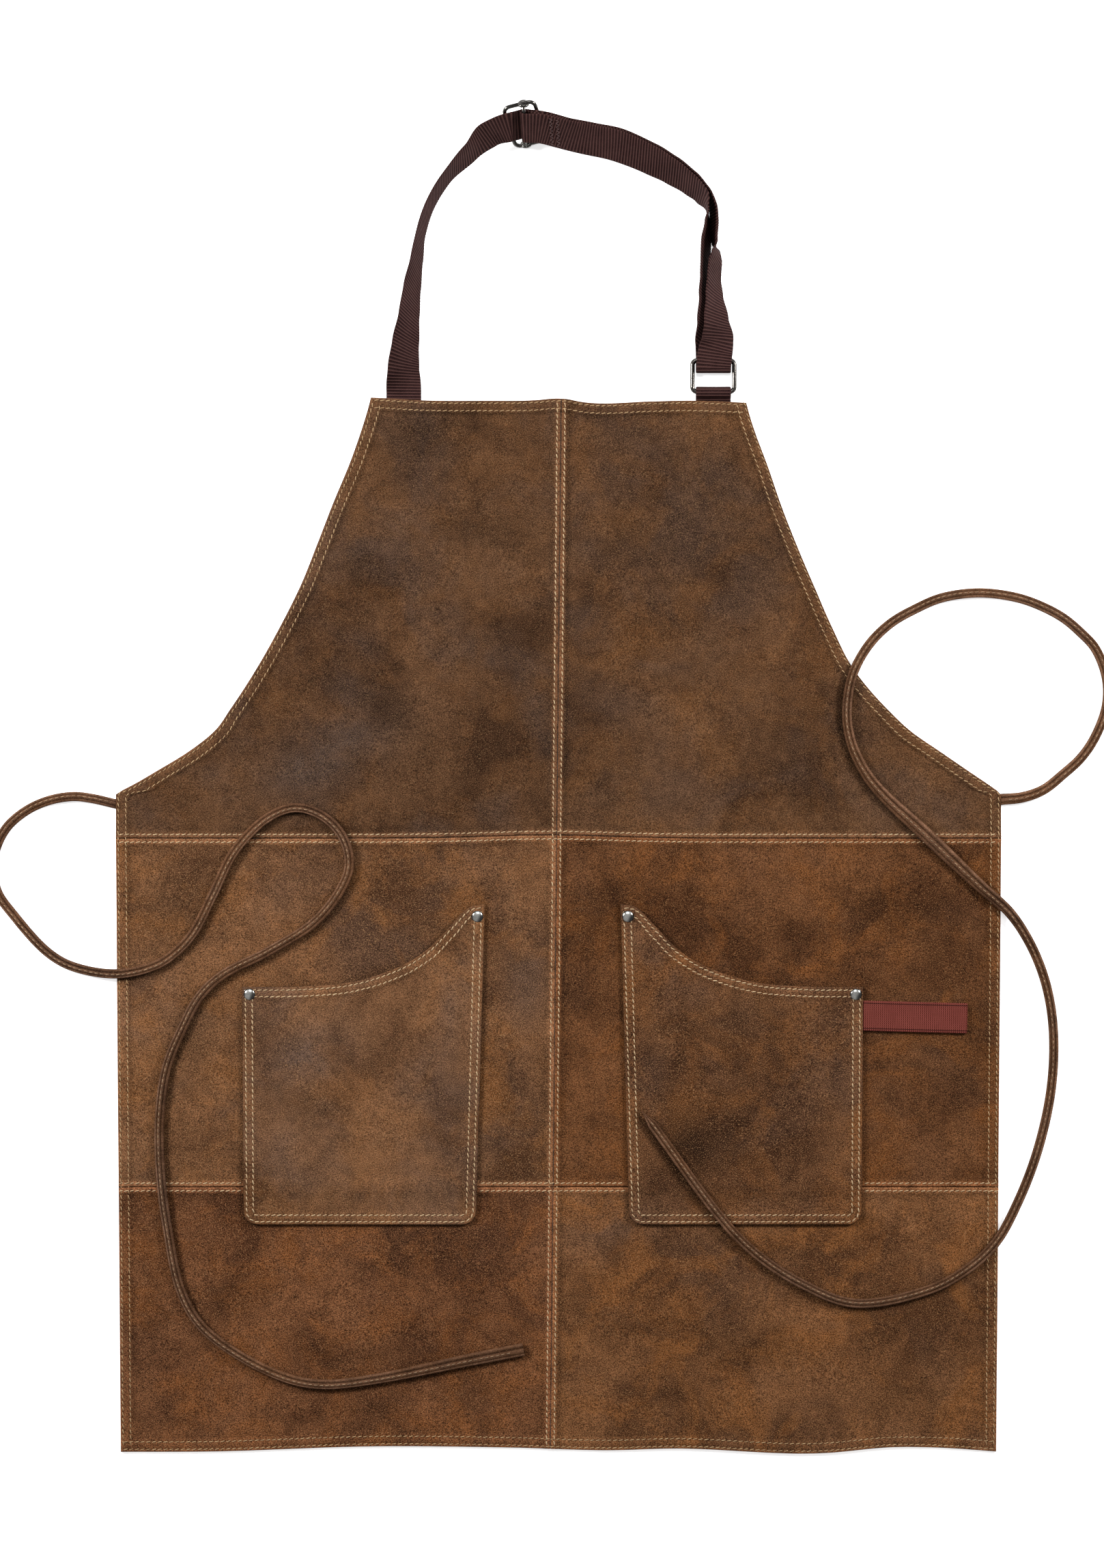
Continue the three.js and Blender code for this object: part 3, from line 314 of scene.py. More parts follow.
def lay_mesh(name: str, points: Array, faces: Sequence[Array], marks: dict[str, Array] | None = None,
             uv: Array | None = None) -> bpy.types.Object:
    """Put arrays of points and faces into a new object at the origin, facing outwards.

    The faces are turned round where the volume, a sixth of the sum of a·(b×c) over its triangles, is
    negative.

    Args:
        name: the object's name.
        points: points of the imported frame, in metres.
        faces: arrays of faces, each with its own number of corners.
        marks: numbers that its points carry.
        uv: places of its points on the flat strip, in metres.

    Returns:
        The new object.
    """
    volume = 0.0
    for block in faces:
        for k in range(1, block.shape[1] - 1):
            a, b, c = (points[block[:, i]] for i in (0, k, k + 1))
            volume += float(np.einsum("ij,ij->i", a, np.cross(b, c)).sum())
    if volume < 0:
        faces = [block[:, ::-1] for block in faces]
    loops = np.concatenate([block.ravel() for block in faces]).astype(np.int32)
    totals = np.concatenate([np.full(len(block), block.shape[1]) for block in faces]).astype(np.int32)
    mesh = bpy.data.meshes.new(name)
    mesh.vertices.add(len(points))
    mesh.vertices.foreach_set("co", points.astype(np.float32).ravel())
    mesh.loops.add(len(loops))
    mesh.loops.foreach_set("vertex_index", loops)
    mesh.polygons.add(len(totals))
    mesh.polygons.foreach_set("loop_start", (np.cumsum(totals) - totals).astype(np.int32))
    mesh.polygons.foreach_set("loop_total", totals)
    mesh.update(calc_edges=True)
    mesh.polygons.foreach_set("use_smooth", np.ones(len(totals), dtype=bool))
    for mark, values in (marks or {}).items():
        mesh.attributes.new(mark, "FLOAT", "POINT").data.foreach_set("value", values.astype(np.float32).ravel())
    if uv is not None:
        mesh.uv_layers.new(name="strip").data.foreach_set("uv", uv[loops].astype(np.float32).ravel())
    mesh.validate()
    made = bpy.data.objects.new(name, mesh)
    bpy.context.scene.collection.objects.link(made)
    return made


def grid_faces(rows: int, columns: int, first: int = 0, wrap: bool = False) -> Array:
    """Four-cornered faces of a grid of points, its columns closed on themselves where wrap is set.

    Args:
        rows: rows of points.
        columns: points in a row.
        first: number of the grid's first point.
        wrap: whether each row closes on itself.

    Returns:
        The faces, as numbers of points.
    """
    row, column = np.meshgrid(np.arange(rows - 1), np.arange(columns if wrap else columns - 1), indexing="ij")
    after = (column + 1) % columns
    here, beyond = row * columns, (row + 1) * columns
    quads = [here + column, here + after, beyond + after, beyond + column]
    return first + np.stack([quad.ravel() for quad in quads], axis=1)


def shell_faces(rows: int, columns: int) -> list[Array]:
    """Faces of a closed sheet: an upper grid, a lower one after it, and the strip round their rim.

    Args:
        rows: rows of points.
        columns: points in a row.

    Returns:
        The upper faces, the lower ones and the rim's.
    """
    size = rows * columns
    places = np.arange(size).reshape(rows, columns)
    rim = np.concatenate([places[0, :-1], places[:-1, -1], places[-1, :0:-1], places[:0:-1, 0]])
    strip = np.stack([rim, rim + size, np.roll(rim, -1) + size, np.roll(rim, -1)], axis=1)
    upper = grid_faces(rows, columns)
    return [upper, upper[:, ::-1] + size, strip]


def tube_faces(rings: int, sides: int, closed: bool) -> list[Array]:
    """Faces of a skin over rings of points, with flat ends unless the row of rings closes on itself.

    Args:
        rings: how many rings there are.
        sides: points in a ring.
        closed: whether the last ring joins the first.

    Returns:
        Arrays of faces, each with its own number of corners.
    """
    faces = grid_faces(rings, sides, wrap=True)
    if closed:
        last = (rings - 1) * sides
        here = np.arange(sides)
        after = (here + 1) % sides
        return [np.vstack([faces, np.stack([last + here, last + after, after, here], axis=1)])]
    ends = np.stack([np.arange(sides)[::-1], (rings - 1) * sides + np.arange(sides)])
    return [faces, ends]


def strip_section(width: float, thickness: float, edge: float, dents: Sequence[tuple[float, float, float]] = (),
                  count: int = 18) -> Array:
    """Section of a flat strip with round edges, as places across and up.

    Its faces lie half the thickness off the middle, less a bell at each dent, and come together at the edges
    along a quarter of an ellipse of the edge's reach.

    Args:
        width: the strip's width.
        thickness: its thickness.
        edge: reach of its round edges.
        dents: place across, reach and depth of each groove along its upper face.
        count: steps across a face.

    Returns:
        The section's points, in order round it.
    """
    turn = np.linspace(0, math.pi, count)
    across = -np.cos(turn) * width / 2
    in_from_edge = np.clip((width / 2 - np.abs(across)) / edge, 0, 1)
    high = thickness / 2 * np.sqrt(np.clip(1 - (1 - in_from_edge) ** 2, 0, 1))
    cut = sum((depth * hump(across, place, reach) for place, reach, depth in dents), np.zeros(count))
    upper = np.stack([across, high - cut * in_from_edge], axis=1)
    lower = np.stack([across, -high], axis=1)[::-1][1:-1]
    return np.vstack([upper, lower])


def carried(section: Array, middles: Array, acrosses: Array, faces: Array) -> Array:
    """Rings of points: a section's places carried along a line by its across and face vectors."""
    across = acrosses[:, None, :] * section[None, :, 0, None]
    return middles[:, None, :] + across + faces[:, None, :] * section[None, :, 1, None]


def strip_uv(middles: Array, section: Array) -> Array:
    """Flat places of a strip's ring points in metres: length along it, and place across it.

    Args:
        middles: points along the strip's middle.
        section: places across and up of the section's points.

    Returns:
        The flat place of each point.
    """
    lengths = np.concatenate([[0], np.cumsum(np.linalg.norm(np.diff(middles, axis=0), axis=1))])
    u, v = np.meshgrid(lengths, section[:, 0], indexing="ij")
    return np.stack([u.ravel(), v.ravel()], axis=1) * MM


def finish_piece(piece: bpy.types.Object, material: bpy.types.Material, slot: str, *nodes: str) -> None:
    """Give a piece its material, ride it on the one body and let it stand for solids.

    Args:
        piece: the new piece.
        material: its finish.
        slot: the record's slot; not used.
        nodes: the solids that it stands for.
    """
    piece.data.materials.append(material)
    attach(piece, "root")
    if nodes:
        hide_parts(*nodes)
    LOG.info("%s: %d faces", piece.name, len(piece.data.polygons))


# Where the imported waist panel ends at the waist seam, which is the plan's zero height
SHIFT_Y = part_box("waist_left")[1][1] / MM + SEAM_HALF


# Finishes

class Recipe:
    """A material's nodes, written as short calls."""

    def __init__(self, name: str) -> None:
        """Start a material with its own surface shader.

        Args:
            name: its name.
        """
        self.material = bpy.data.materials.new(name)
        self.material.use_nodes = True
        self.tree = self.material.node_tree
        self.shader = self.tree.nodes["Principled BSDF"]

    def node(self, kind: str, values: dict | None = None, **settings: object) -> bpy.types.Node:
        """Add a node, set its properties and its sockets, and join sockets that are given as sockets.

        Args:
            kind: Blender's name for the node.
            values: numbers, colours or sockets by socket.
            settings: properties of the node.

        Returns:
            The new node.
        """
        made = self.tree.nodes.new(kind)
        for key, value in settings.items():
            setattr(made, key, value)
        for key, value in (values or {}).items():
            if isinstance(value, bpy.types.NodeSocket):
                self.tree.links.new(value, made.inputs[key])
            else:
                made.inputs[key].default_value = value
        return made

    def noise(self, place: bpy.types.NodeSocket, scale: float, detail: float = 3, rough: float = 0.6,
              bend: float = 0) -> bpy.types.NodeSocket:
        """Soft noise of so many lumps a metre."""
        values = {"Vector": place, "Scale": scale, "Detail": detail, "Roughness": rough, "Distortion": bend}
        return self.node("ShaderNodeTexNoise", values).outputs["Fac"]

    def span(self, value: bpy.types.NodeSocket, low: float, high: float, to_low: float = 0,
             to_high: float = 1) -> bpy.types.NodeSocket:
        """Carry low to high onto to_low to to_high, cut off at both ends."""
        values = {"Value": value, "From Min": low, "From Max": high, "To Min": to_low, "To Max": to_high}
        return self.node("ShaderNodeMapRange", values).outputs["Result"]

    def maths(self, operation: str, a: object, b: object = 0.0) -> bpy.types.NodeSocket:
        """One sum of two numbers."""
        return self.node("ShaderNodeMath", {0: a, 1: b}, operation=operation).outputs[0]

    def mix(self, share: object, a: object, b: object) -> bpy.types.NodeSocket:
        """Colour on the way from a to b."""
        values = {0: share, 6: a, 7: b}
        return self.node("ShaderNodeMix", values, data_type="RGBA").outputs[2]

    def shaded(self, colour: bpy.types.NodeSocket, factor: bpy.types.NodeSocket) -> bpy.types.NodeSocket:
        """A colour made lighter or darker by a factor."""
        values = {0: colour, "Scale": factor}
        return self.node("ShaderNodeVectorMath", values, operation="SCALE").outputs[0]

    def set(self, colour: object, height: bpy.types.NodeSocket | None = None, deep: float = 0.0003,
            strength: float = 0.6, **constants: float) -> bpy.types.Material:
        """Join colour and relief to the shader and set its constant sockets.

        Args:
            colour: a colour or a socket.
            height: the relief's socket.
            deep: depth of the relief in metres.
            strength: share of the relief that shows.
            constants: values of the shader's own sockets.

        Returns:
            The finished material.
        """
        if isinstance(colour, bpy.types.NodeSocket):
            self.tree.links.new(colour, self.shader.inputs["Base Color"])
        else:
            self.shader.inputs["Base Color"].default_value = colour
        if height is not None:
            values = {"Strength": strength, "Distance": deep, "Height": height}
            bump = self.node("ShaderNodeBump", values)
            self.tree.links.new(bump.outputs["Normal"], self.shader.inputs["Normal"])
        for key, value in constants.items():
            self.shader.inputs[key.replace("_", " ")].default_value = value
        return self.material


def rgba(red: float, green: float, blue: float) -> tuple[float, float, float, float]:
    """An opaque linear colour."""
    return (red, green, blue, 1.0)


@dataclass(frozen=True)
class Suede:
    """Waxed suede: dark and mid brown clouds, dull and orange patches, pale nap, and rubbed edges.

    Its attributes give the share that an edge is rubbed, and on the lace a painted highlight, and shade the share that
    a place is darkened, by stains, seam grooves and painted shade.
    """

    name: str
    seed: float
    tone: tuple[float, float, float] = (1.0, 1.0, 1.0)
    warm: float = 0.5
    dull: float = 0.5
    grain: float = 1.0
    rubbed: float = 0.8
    rub_and_highlight: tuple[float, float, float] = (0.225, 0.097, 0.043)

    def make(self) -> bpy.types.Material:
        """Build the material.

        Returns:
            The material.
        """
        r = Recipe(self.name)
        place = r.node("ShaderNodeTexCoord").outputs["Object"]
        values = {"Vector": place, "Location": (self.seed, 1.7 * self.seed, 0.6 * self.seed)}
        place = r.node("ShaderNodeMapping", values).outputs["Vector"]
        clouds = r.noise(place, 9, 3, 0.5, 0.5)
        patches = r.noise(place, 27, 4, 0.58, 0.6)
        mottle = r.noise(place, 130, 4, 0.6)
        nap = r.noise(place, 1150, 3, 0.65)
        fleck = r.noise(place, 1450, 1, 0.5, 0.3)
        both = r.maths("ADD", r.maths("MULTIPLY", clouds, 0.55), r.maths("MULTIPLY", patches, 0.45))
        colour = r.mix(r.span(both, 0.41, 0.59), rgba(0.05, 0.0215, 0.0095), rgba(0.124, 0.0555, 0.0235))
        dull = r.node("ShaderNodeAttribute", attribute_name="dull").outputs["Fac"]
        dulled = r.span(r.noise(place, 14.5, 3, 0.5, 0.8), 0.48, 0.66, 0, self.dull)
        dulled = r.maths("MAXIMUM", dulled, r.maths("MULTIPLY", dull, r.span(patches, 0.3, 0.55, 0.5, 1)))
        colour = r.mix(dulled, colour, rgba(0.078, 0.046, 0.031))
        warmed = r.span(r.noise(place, 23, 4, 0.6, 0.6), 0.48, 0.66, 0, self.warm)
        colour = r.mix(warmed, colour, rgba(0.144, 0.0575, 0.0182))
        # Rubbed colour where the leather is worn; on the lace it paints a highlight
        wear_and_highlight = r.node("ShaderNodeAttribute", attribute_name="wear_and_highlight").outputs["Fac"]
        patchy = r.span(mottle, 0.3, 0.62, 0.45, 1)
        rubbed = r.maths("MULTIPLY", r.maths("MULTIPLY", wear_and_highlight, patchy), self.rubbed)
        colour = r.mix(rubbed, colour, rgba(*self.rub_and_highlight))
        shade = r.node("ShaderNodeAttribute", attribute_name="shade").outputs["Fac"]
        colour = r.shaded(colour, r.span(shade, 0, 1, 1, 0.2))
        colour = r.shaded(colour, r.span(mottle, 0.3, 0.7, 0.78, 1.22))
        reach = 0.178 / self.grain
        colour = r.shaded(colour, r.span(nap, 0.5 - reach, 0.5 + reach, 0.25, 1.75))
        colour = r.mix(r.span(fleck, 0.56, 0.74, 0, 0.6 * self.grain), colour, rgba(0.27, 0.145, 0.066))
        colour = r.mix(r.span(fleck, 0.42, 0.28, 0, 0.3 * self.grain), colour, rgba(0.014, 0.007, 0.004))
        colour = r.node("ShaderNodeVectorMath", {0: colour, 1: self.tone}, operation="MULTIPLY").outputs[0]
        height = r.maths("ADD", nap, r.maths("MULTIPLY", fleck, 0.5))
        constants = {"Roughness": 0.9, "Specular_IOR_Level": 0.03}
        return r.set(colour, height, 0.0005, 0.55, **constants)


@dataclass(frozen=True)
class WovenStrap:
    """Dark webbing: ribs straight across it, fine warps along it, and a dusty face."""

    name: str
    dark: tuple[float, float, float, float]
    light: tuple[float, float, float, float]
    rib_mm: float = 2.15
    warp_mm: float = 1.3
    line_mm: float = 0.0
    crossed: float = 0.13

    def make(self) -> bpy.types.Material:
        """Build the material from the strip's own lengths.

        Returns:
            The material.
        """
        r = Recipe(self.name)
        place = r.node("ShaderNodeUVMap", uv_map="strip").outputs["UV"]
        parts = r.node("ShaderNodeSeparateXYZ", {0: place})
        weft = r.maths("COSINE", r.maths("MULTIPLY", parts.outputs[0], 2 * math.pi / (self.rib_mm * MM)))
        warp = r.maths("SINE", r.maths("MULTIPLY", parts.outputs[1], 2 * math.pi / (self.warp_mm * MM)))
        crossed = r.maths("MULTIPLY", weft, warp)
        fibre = r.noise(r.node("ShaderNodeTexCoord").outputs["Object"], 900, 3, 0.7)
        dust = r.noise(r.node("ShaderNodeTexCoord").outputs["Object"], 70, 4, 0.6)
        weave = r.maths("ADD", r.maths("MULTIPLY", weft, 0.5), r.maths("MULTIPLY", crossed, 0.16))
        crest = r.maths("POWER", r.span(weft, -1, 1), 2.4)
        crest = r.maths("ADD", crest, r.maths("MULTIPLY", crossed, self.crossed))
        lit = r.maths("ADD", crest, r.maths("MULTIPLY", r.maths("ADD", fibre, dust), 0.6))
        colour = r.mix(r.span(lit, 0.4, 1.6), self.dark, self.light)
        # Dark lines along the grooves near the edges: painted shade
        if self.line_mm:
            across = r.maths("ABSOLUTE", parts.outputs[1])
            aside = r.maths("ABSOLUTE", r.maths("SUBTRACT", across, self.line_mm * MM))
            colour = r.shaded(colour, r.span(aside, 0.0002, 0.0005, 0.25, 1))
        height = r.maths("ADD", weave, r.maths("MULTIPLY", fibre, 0.4))
        constants = {"Roughness": 0.8, "Specular_IOR_Level": 0.06}
        return r.set(colour, height, 0.00035, 0.8, **constants)


@dataclass(frozen=True)
class Metal:
    """Plated wire or rivet metal with faint scuffs."""

    name: str
    colour: tuple[float, float, float, float]
    roughness: float

    def make(self) -> bpy.types.Material:
        """Build the material.

        Returns:
            The material.
        """
        r = Recipe(self.name)
        place = r.node("ShaderNodeTexCoord").outputs["Object"]
        scuffs = r.noise(place, 600, 4, 0.7)
        dirt = r.span(r.noise(place, 160, 3, 0.6), 0.45, 0.75, 1, 0.62)
        colour = r.shaded(r.mix(r.span(scuffs, 0.4, 0.75, 0, 0.4), self.colour, rgba(0.12, 0.11, 0.1)), dirt)
        # The shade mark darkens the colour; on the rivets it is a painted reflection
        shade = r.node("ShaderNodeAttribute", attribute_name="shade").outputs["Fac"]
        colour = r.shaded(colour, r.span(shade, 0, 1, 1, 0.08))
        rough = r.span(scuffs, 0.3, 0.7, self.roughness * 0.7, self.roughness * 1.4)
        r.tree.links.new(rough, r.shader.inputs["Roughness"])
        return r.set(colour, scuffs, 0.0001, 0.15, Metallic=1.0)


@dataclass(frozen=True)
class Thread:
    """Waxed thread, pale or worn from stitch to stitch."""

    name: str
    pale: tuple[float, float, float, float]
    worn: tuple[float, float, float, float]

    def make(self) -> bpy.types.Material:
        """Build the material.

        Returns:
            The material.
        """
        r = Recipe(self.name)
        place = r.node("ShaderNodeTexCoord").outputs["Object"]
        patches = r.noise(place, 170, 4, 0.7)
        twist = r.noise(place, 2600, 2, 0.6)
        colour = r.mix(r.span(patches, 0.38, 0.66), self.pale, self.worn)
        colour = r.shaded(colour, r.span(twist, 0.3, 0.7, 0.7, 1.15))
        return r.set(colour, twist, 0.0001, 0.5, Roughness=0.62, Specular_IOR_Level=0.35)


class Tone(Enum):
    """The leathers of the panels and pockets, which differ a little from hide to hide."""

    BIB_LEFT = Suede("suede_bib_left", 0.3, (0.715, 0.747, 0.815), 0.35, 0.5)
    BIB_RIGHT = Suede("suede_bib_right", 1.1, (0.79, 0.818, 0.875), 0.45, 0.4)
    WAIST_LEFT = Suede("suede_waist_left", 2.3, (1.15, 1.155, 1.196), 0.65, 0.3, 1.15)
    WAIST_RIGHT = Suede("suede_waist_right", 3.4, (0.912, 0.814, 0.744), 0.75, 0.2, 1.2)
    SKIRT_LEFT = Suede("suede_skirt_left", 4.2, (1.054, 0.947, 0.941), 0.8, 0.1, 1.35)
    SKIRT_RIGHT = Suede("suede_skirt_right", 5.7, (1.172, 1.112, 1.063), 0.7, 0.2, 1.2)
    POCKET_LEFT = Suede("suede_pocket_left", 6.1, (1.335, 1.377, 1.479), 0.35, 0.5, 0.95)
    POCKET_RIGHT = Suede("suede_pocket_right", 7.9, (1.134, 1.099, 1.124), 0.6, 0.3, 1.2)
    # The lace's rubbed colour is the pale colour of its painted highlight
    LACE = Suede("smooth_lace", 8.6, (0.76, 0.73, 0.76), 0.1, 0.4, 0.6, 0.75, (0.26, 0.145, 0.085))


# Leather

@dataclass
class Form:
    """The apron's leather as heights over its plan: swells, hems, seams, creases and ripples."""

    hem: float = 8.0
    hem_fold: float = 1.0
    seam_fold: float = 0.75
    seam_reach: float = 3.7
    hem_rows: tuple[float, float] = (1.9, 7.3)
    seam_row: float = 2.75
    pocket_rows: tuple[float, float] = (2.3, 7.0)
    hem_rim: float = 1.1
    seam_rim: float = 1.3
    groove_deep: float = 0.42
    groove_reach: float = 0.75
    wave_rise: float = 0.0016
    # The ties' painted shadows: how far they lie aside towards the middle and below a tie, and how far they fade
    tie_shadow_aside: float = 3.2
    tie_shadow_below: float = 2.4
    painted_shade_reach: float = 3.8

    def half_width(self, x: Array, y: Array) -> Array:
        """Half width on the side of x at height y: the bib's table above the waist's corner, a taper below.

        Args:
            x: plan places across.
            y: plan heights.

        Returns:
            The half widths.
        """
        down = np.clip((BIB_HEIGHT - y) / (BIB_HEIGHT - WAIST_STRIP), 0, 1)
        side = np.where(x < 0, eased(BIB_SIDES, 1, down), eased(BIB_SIDES, 2, down))
        bib = BIB_TOP_HALF + (WAIST_HALF - BIB_TOP_HALF) * side
        below = WAIST_HALF - HEM_TAPER * np.clip(y / HEM_Y, 0, 1)
        return np.where(y > WAIST_STRIP, bib, below)

    def slope(self, x: Array, y: Array) -> Array:
        """Length of a slanting side for each millimetre of height."""
        run = self.half_width(x, y - 2) - self.half_width(x, y + 2)
        return np.hypot(1, run / 4)

    def seam_x(self, y: Array) -> Array:
        """Where the middle seam runs: straight, leaning to one side."""
        return SEAM_SWAY * (np.clip((BIB_HEIGHT - y) / BODY_HEIGHT, 0, 1) * -1.3 + 0.33)

    def bottom(self, x: Array) -> Array:
        """Height of the wavy bottom edge."""
        return HEM_Y - HEM_WAVE * eased(HEM_LINE, 1, x / WAIST_HALF)

    def brow(self, x: Array) -> Array:
        """Height of the bib's slightly wavy upper edge."""
        return BIB_HEIGHT + eased(TOP_LINE, 1, x / BIB_TOP_HALF)

    def underside(self, x: Array, y: Array) -> Array:
        """Height of the leather's underside: the sum of its swells less a share that lies flat, never below
        0.

        Args:
            x: plan places across.
            y: plan heights.

        Returns:
            The heights.
        """
        across, up, long, wide, turn, rise = (SWELLS[:, k].reshape(-1, *[1] * np.ndim(x)) for k in range(6))
        dx, dy = x - across * WAIST_HALF, y - up * BODY_HEIGHT
        cos, sin = np.cos(turn * RAD), np.sin(turn * RAD)
        u = (dx * cos + dy * sin) / (long * BODY_HEIGHT)
        v = (dy * cos - dx * sin) / (wide * BODY_HEIGHT)
        swell = np.maximum(0, SWELL * ((rise * np.exp(-(u * u + v * v) / 2)).sum(0) - FLAT_SHARE))
        reach = NECK_HALF - WEBBING_WIDTH / 2 - STRAP_TUCK / 4
        layers = 1 + np.clip((x + reach) / (2 * reach), 0, 1)
        above = BIB_HEIGHT - STRAP_TUCK * 1.1
        hold = smoothstep(y, above - STRAP_TUCK * 3, above)
        return swell * (1 - hold) + hold * (WEBBING + GAP) * layers

    def to_hem(self, x: Array, y: Array) -> Array:
        """Distance to the nearest outer edge."""
        side = (self.half_width(x, y) - np.abs(x)) / self.slope(x, y)
        return np.maximum(0, np.minimum(side, np.minimum(self.brow(x) - y, y - self.bottom(x))))

    def to_seam(self, x: Array, y: Array) -> Array:
        """Distance to the nearest of the middle seam and the two cross seams."""
        return np.minimum(np.abs(x - self.seam_x(y)), np.minimum(np.abs(y), np.abs(y + WAIST_PANEL)))

    def fold(self, inset: Array, reach: float, rise: float, rows: Sequence[float], round_edge: float) -> Array:
        """Relief of a turned and stitched edge: a raised fold, a groove under each row of thread, a round
        rim.

        Args:
            inset: distances inwards from the edge.
            reach: width of the fold.
            rise: height of the fold.
            rows: distances of the rows of thread from the edge.
            round_edge: radius of the rim.

        Returns:
            Heights to add to the leather's face.
        """
        rim = np.clip(round_edge - inset, 0, round_edge)
        low = round_edge - np.sqrt(np.maximum(round_edge**2 - rim**2, 0))
        pulled = sum((self.groove_deep * hump(inset, row, self.groove_reach) for row in rows), np.zeros_like(inset))
        return rise * (1 - smoothstep(inset, reach, reach + 1.8)) - low - pulled

    def ripples(self, x: Array, y: Array) -> Array:
        """Small uneven waves: a sum of sines in fixed random directions, and puckers along hems and seams.

        Args:
            x: plan places across.
            y: plan heights.

        Returns:
            Heights to add.
        """
        draw = np.random.default_rng(11)
        height = np.zeros_like(x)
        for wave in (95.0, 71.0, 52.0, 40.0, 31.0, 24.0, 18.0, 13.0):
            turn, phase = draw.uniform(0, 2 * math.pi, 2)
            bend = 0.6 * np.sin((x * math.sin(turn) + y * math.cos(turn)) / (wave * 0.7) + phase)
            along = 2 * math.pi * (x * math.cos(turn) + y * math.sin(turn)) / wave
            height += wave * self.wave_rise * np.sin(along + phase + bend)
        pucker = 0.2 * np.sin((x + y) / 2.6 + 1.4 * np.sin((x - y) / 9.0))
        near = np.minimum(self.to_seam(x, y), np.abs(self.to_hem(x, y) - self.hem))
        return height + pucker * hump(near, 7.0, 5.0)

    def creases(self, x: Array, y: Array) -> Array:
        """Shallow valleys, each a bell long one way and narrow the other, with a low ridge beside it.

        Args:
            x: plan places across.
            y: plan heights.

        Returns:
            Heights to add, mostly below 0.
        """
        across, up, long, wide, turn, depth = (CREASES[:, k].reshape(-1, *[1] * np.ndim(x)) for k in range(6))
        dx, dy = x - across * WAIST_HALF, y - up * BODY_HEIGHT
        cos, sin = np.cos(turn * RAD), np.sin(turn * RAD)
        u, v = (dx * cos + dy * sin) / long, (dy * cos - dx * sin) / wide
        return (1.35 * depth * np.exp(-u * u) * (0.8 * np.exp(-((v - 1.5) ** 2)) - np.exp(-v * v))).sum(0)

    def top(self, x: Array, y: Array) -> Array:
        """Height of the leather's upper face, its relief included.

        Args:
            x: plan places across.
            y: plan heights.

        Returns:
            The heights.
        """
        hem = self.fold(self.to_hem(x, y), self.hem, self.hem_fold, self.hem_rows, self.hem_rim)
        seam = self.fold(self.to_seam(x, y), self.seam_reach, self.seam_fold, (self.seam_row,), self.seam_rim)
        calm = smoothstep(self.to_hem(x, y), 0, 12)
        uneven = (self.ripples(x, y) + self.creases(x, y)) * (0.35 + 0.65 * calm)
        return self.underside(x, y) + LEATHER + hem + seam + uneven

    def stains(self, x: Array, y: Array, column: int) -> Array:
        """Darkness or dullness of the stains and of one painted shadow: the sum of their bells.

        Args:
            x: plan places across.
            y: plan heights.
            column: the table's column to read.

        Returns:
            Shares from 0 to 1.
        """
        across, up, long, wide, turn = (STAINS_AND_SHADOW[:, k].reshape(-1, *[1] * np.ndim(x)) for k in range(5))
        share = STAINS_AND_SHADOW[:, column].reshape(-1, *[1] * np.ndim(x))
        dx, dy = x - across * WAIST_HALF, y - up * BODY_HEIGHT
        cos, sin = np.cos(turn * RAD), np.sin(turn * RAD)
        u, v = (dx * cos + dy * sin) / long, (dy * cos - dx * sin) / wide
        return np.clip((share * np.exp(-u * u - v * v)).sum(0), 0, 1)

    def painted_tie_shadows(self, x: Array, y: Array) -> Array:
        """Painted shadow of the ties: full just below a tie on the side of the middle, fading within 5 mm.

        Args:
            x: plan places across.
            y: plan heights.

        Returns:
            Shares from 0 to 1.
        """
        dark = np.zeros_like(x)
        for route, aside in ((TIE_LEFT_ROUTE, self.tie_shadow_aside), (TIE_RIGHT_ROUTE, -self.tie_shadow_aside)):
            line, _ = evenly_along(centripetal(route / MM, 12), 2.0)
            line = line[:, :2] + np.array([aside, -self.tie_shadow_below])
            line = line[np.abs(line[:, 0]) < WAIST_HALF + 9]
            for part in np.array_split(line, 8):
                away = np.hypot(x[..., None] - part[:, 0], y[..., None] - part[:, 1]).min(-1)
                dark = np.maximum(dark, hump(away, 0, self.painted_shade_reach))
        return dark

    def wear_and_highlight(self, x: Array, y: Array) -> Array:
        """How rubbed a place is: full between the rows of thread, fading a centimetre on.

        Args:
            x: plan places across.
            y: plan heights.

        Returns:
            Shares from 0 to 1.
        """
        seam = 1 - smoothstep(self.to_seam(x, y), 2.4, 5.2)
        inset = self.to_hem(x, y)
        hem = 0.45 * (1 - smoothstep(inset, 0.6, 2.0)) + 0.14 * (1 - smoothstep(inset, 5.0, 10.0))
        return np.maximum(seam, hem)

    def shade(self, x: Array, y: Array) -> Array:
        """How dark a place is: the groove of a seam, painted shade beside seams and hems, the stains, and the ties'
        painted shadows.

        Args:
            x: plan places across.
            y: plan heights.

        Returns:
            Shares from 0 to 1.
        """
        seam, hem = self.to_seam(x, y), self.to_hem(x, y)
        # Painted shade: a painted shadow to the right of the middle seam, and painted shade at the feet of the seams'
        # and hems' folds
        beside = 0.3 * hump(x - self.seam_x(y), 5.4, 1.8) + 0.14 * hump(seam, 6.2, 2.6) + 0.2 * hump(hem, 9.6, 1.6)
        groove = (0.55 + 0.3 * np.sin((x + y) / 5.0 + 2 * np.sin((x - y) / 13.0))) * hump(seam, 0, 0.5)
        stains = STAIN_WEIGHT * self.stains(x, y, DARKNESS)
        return np.clip(groove + beside + stains + TIE_SHADOW * self.painted_tie_shadows(x, y), 0, 1)


FORM = Form()


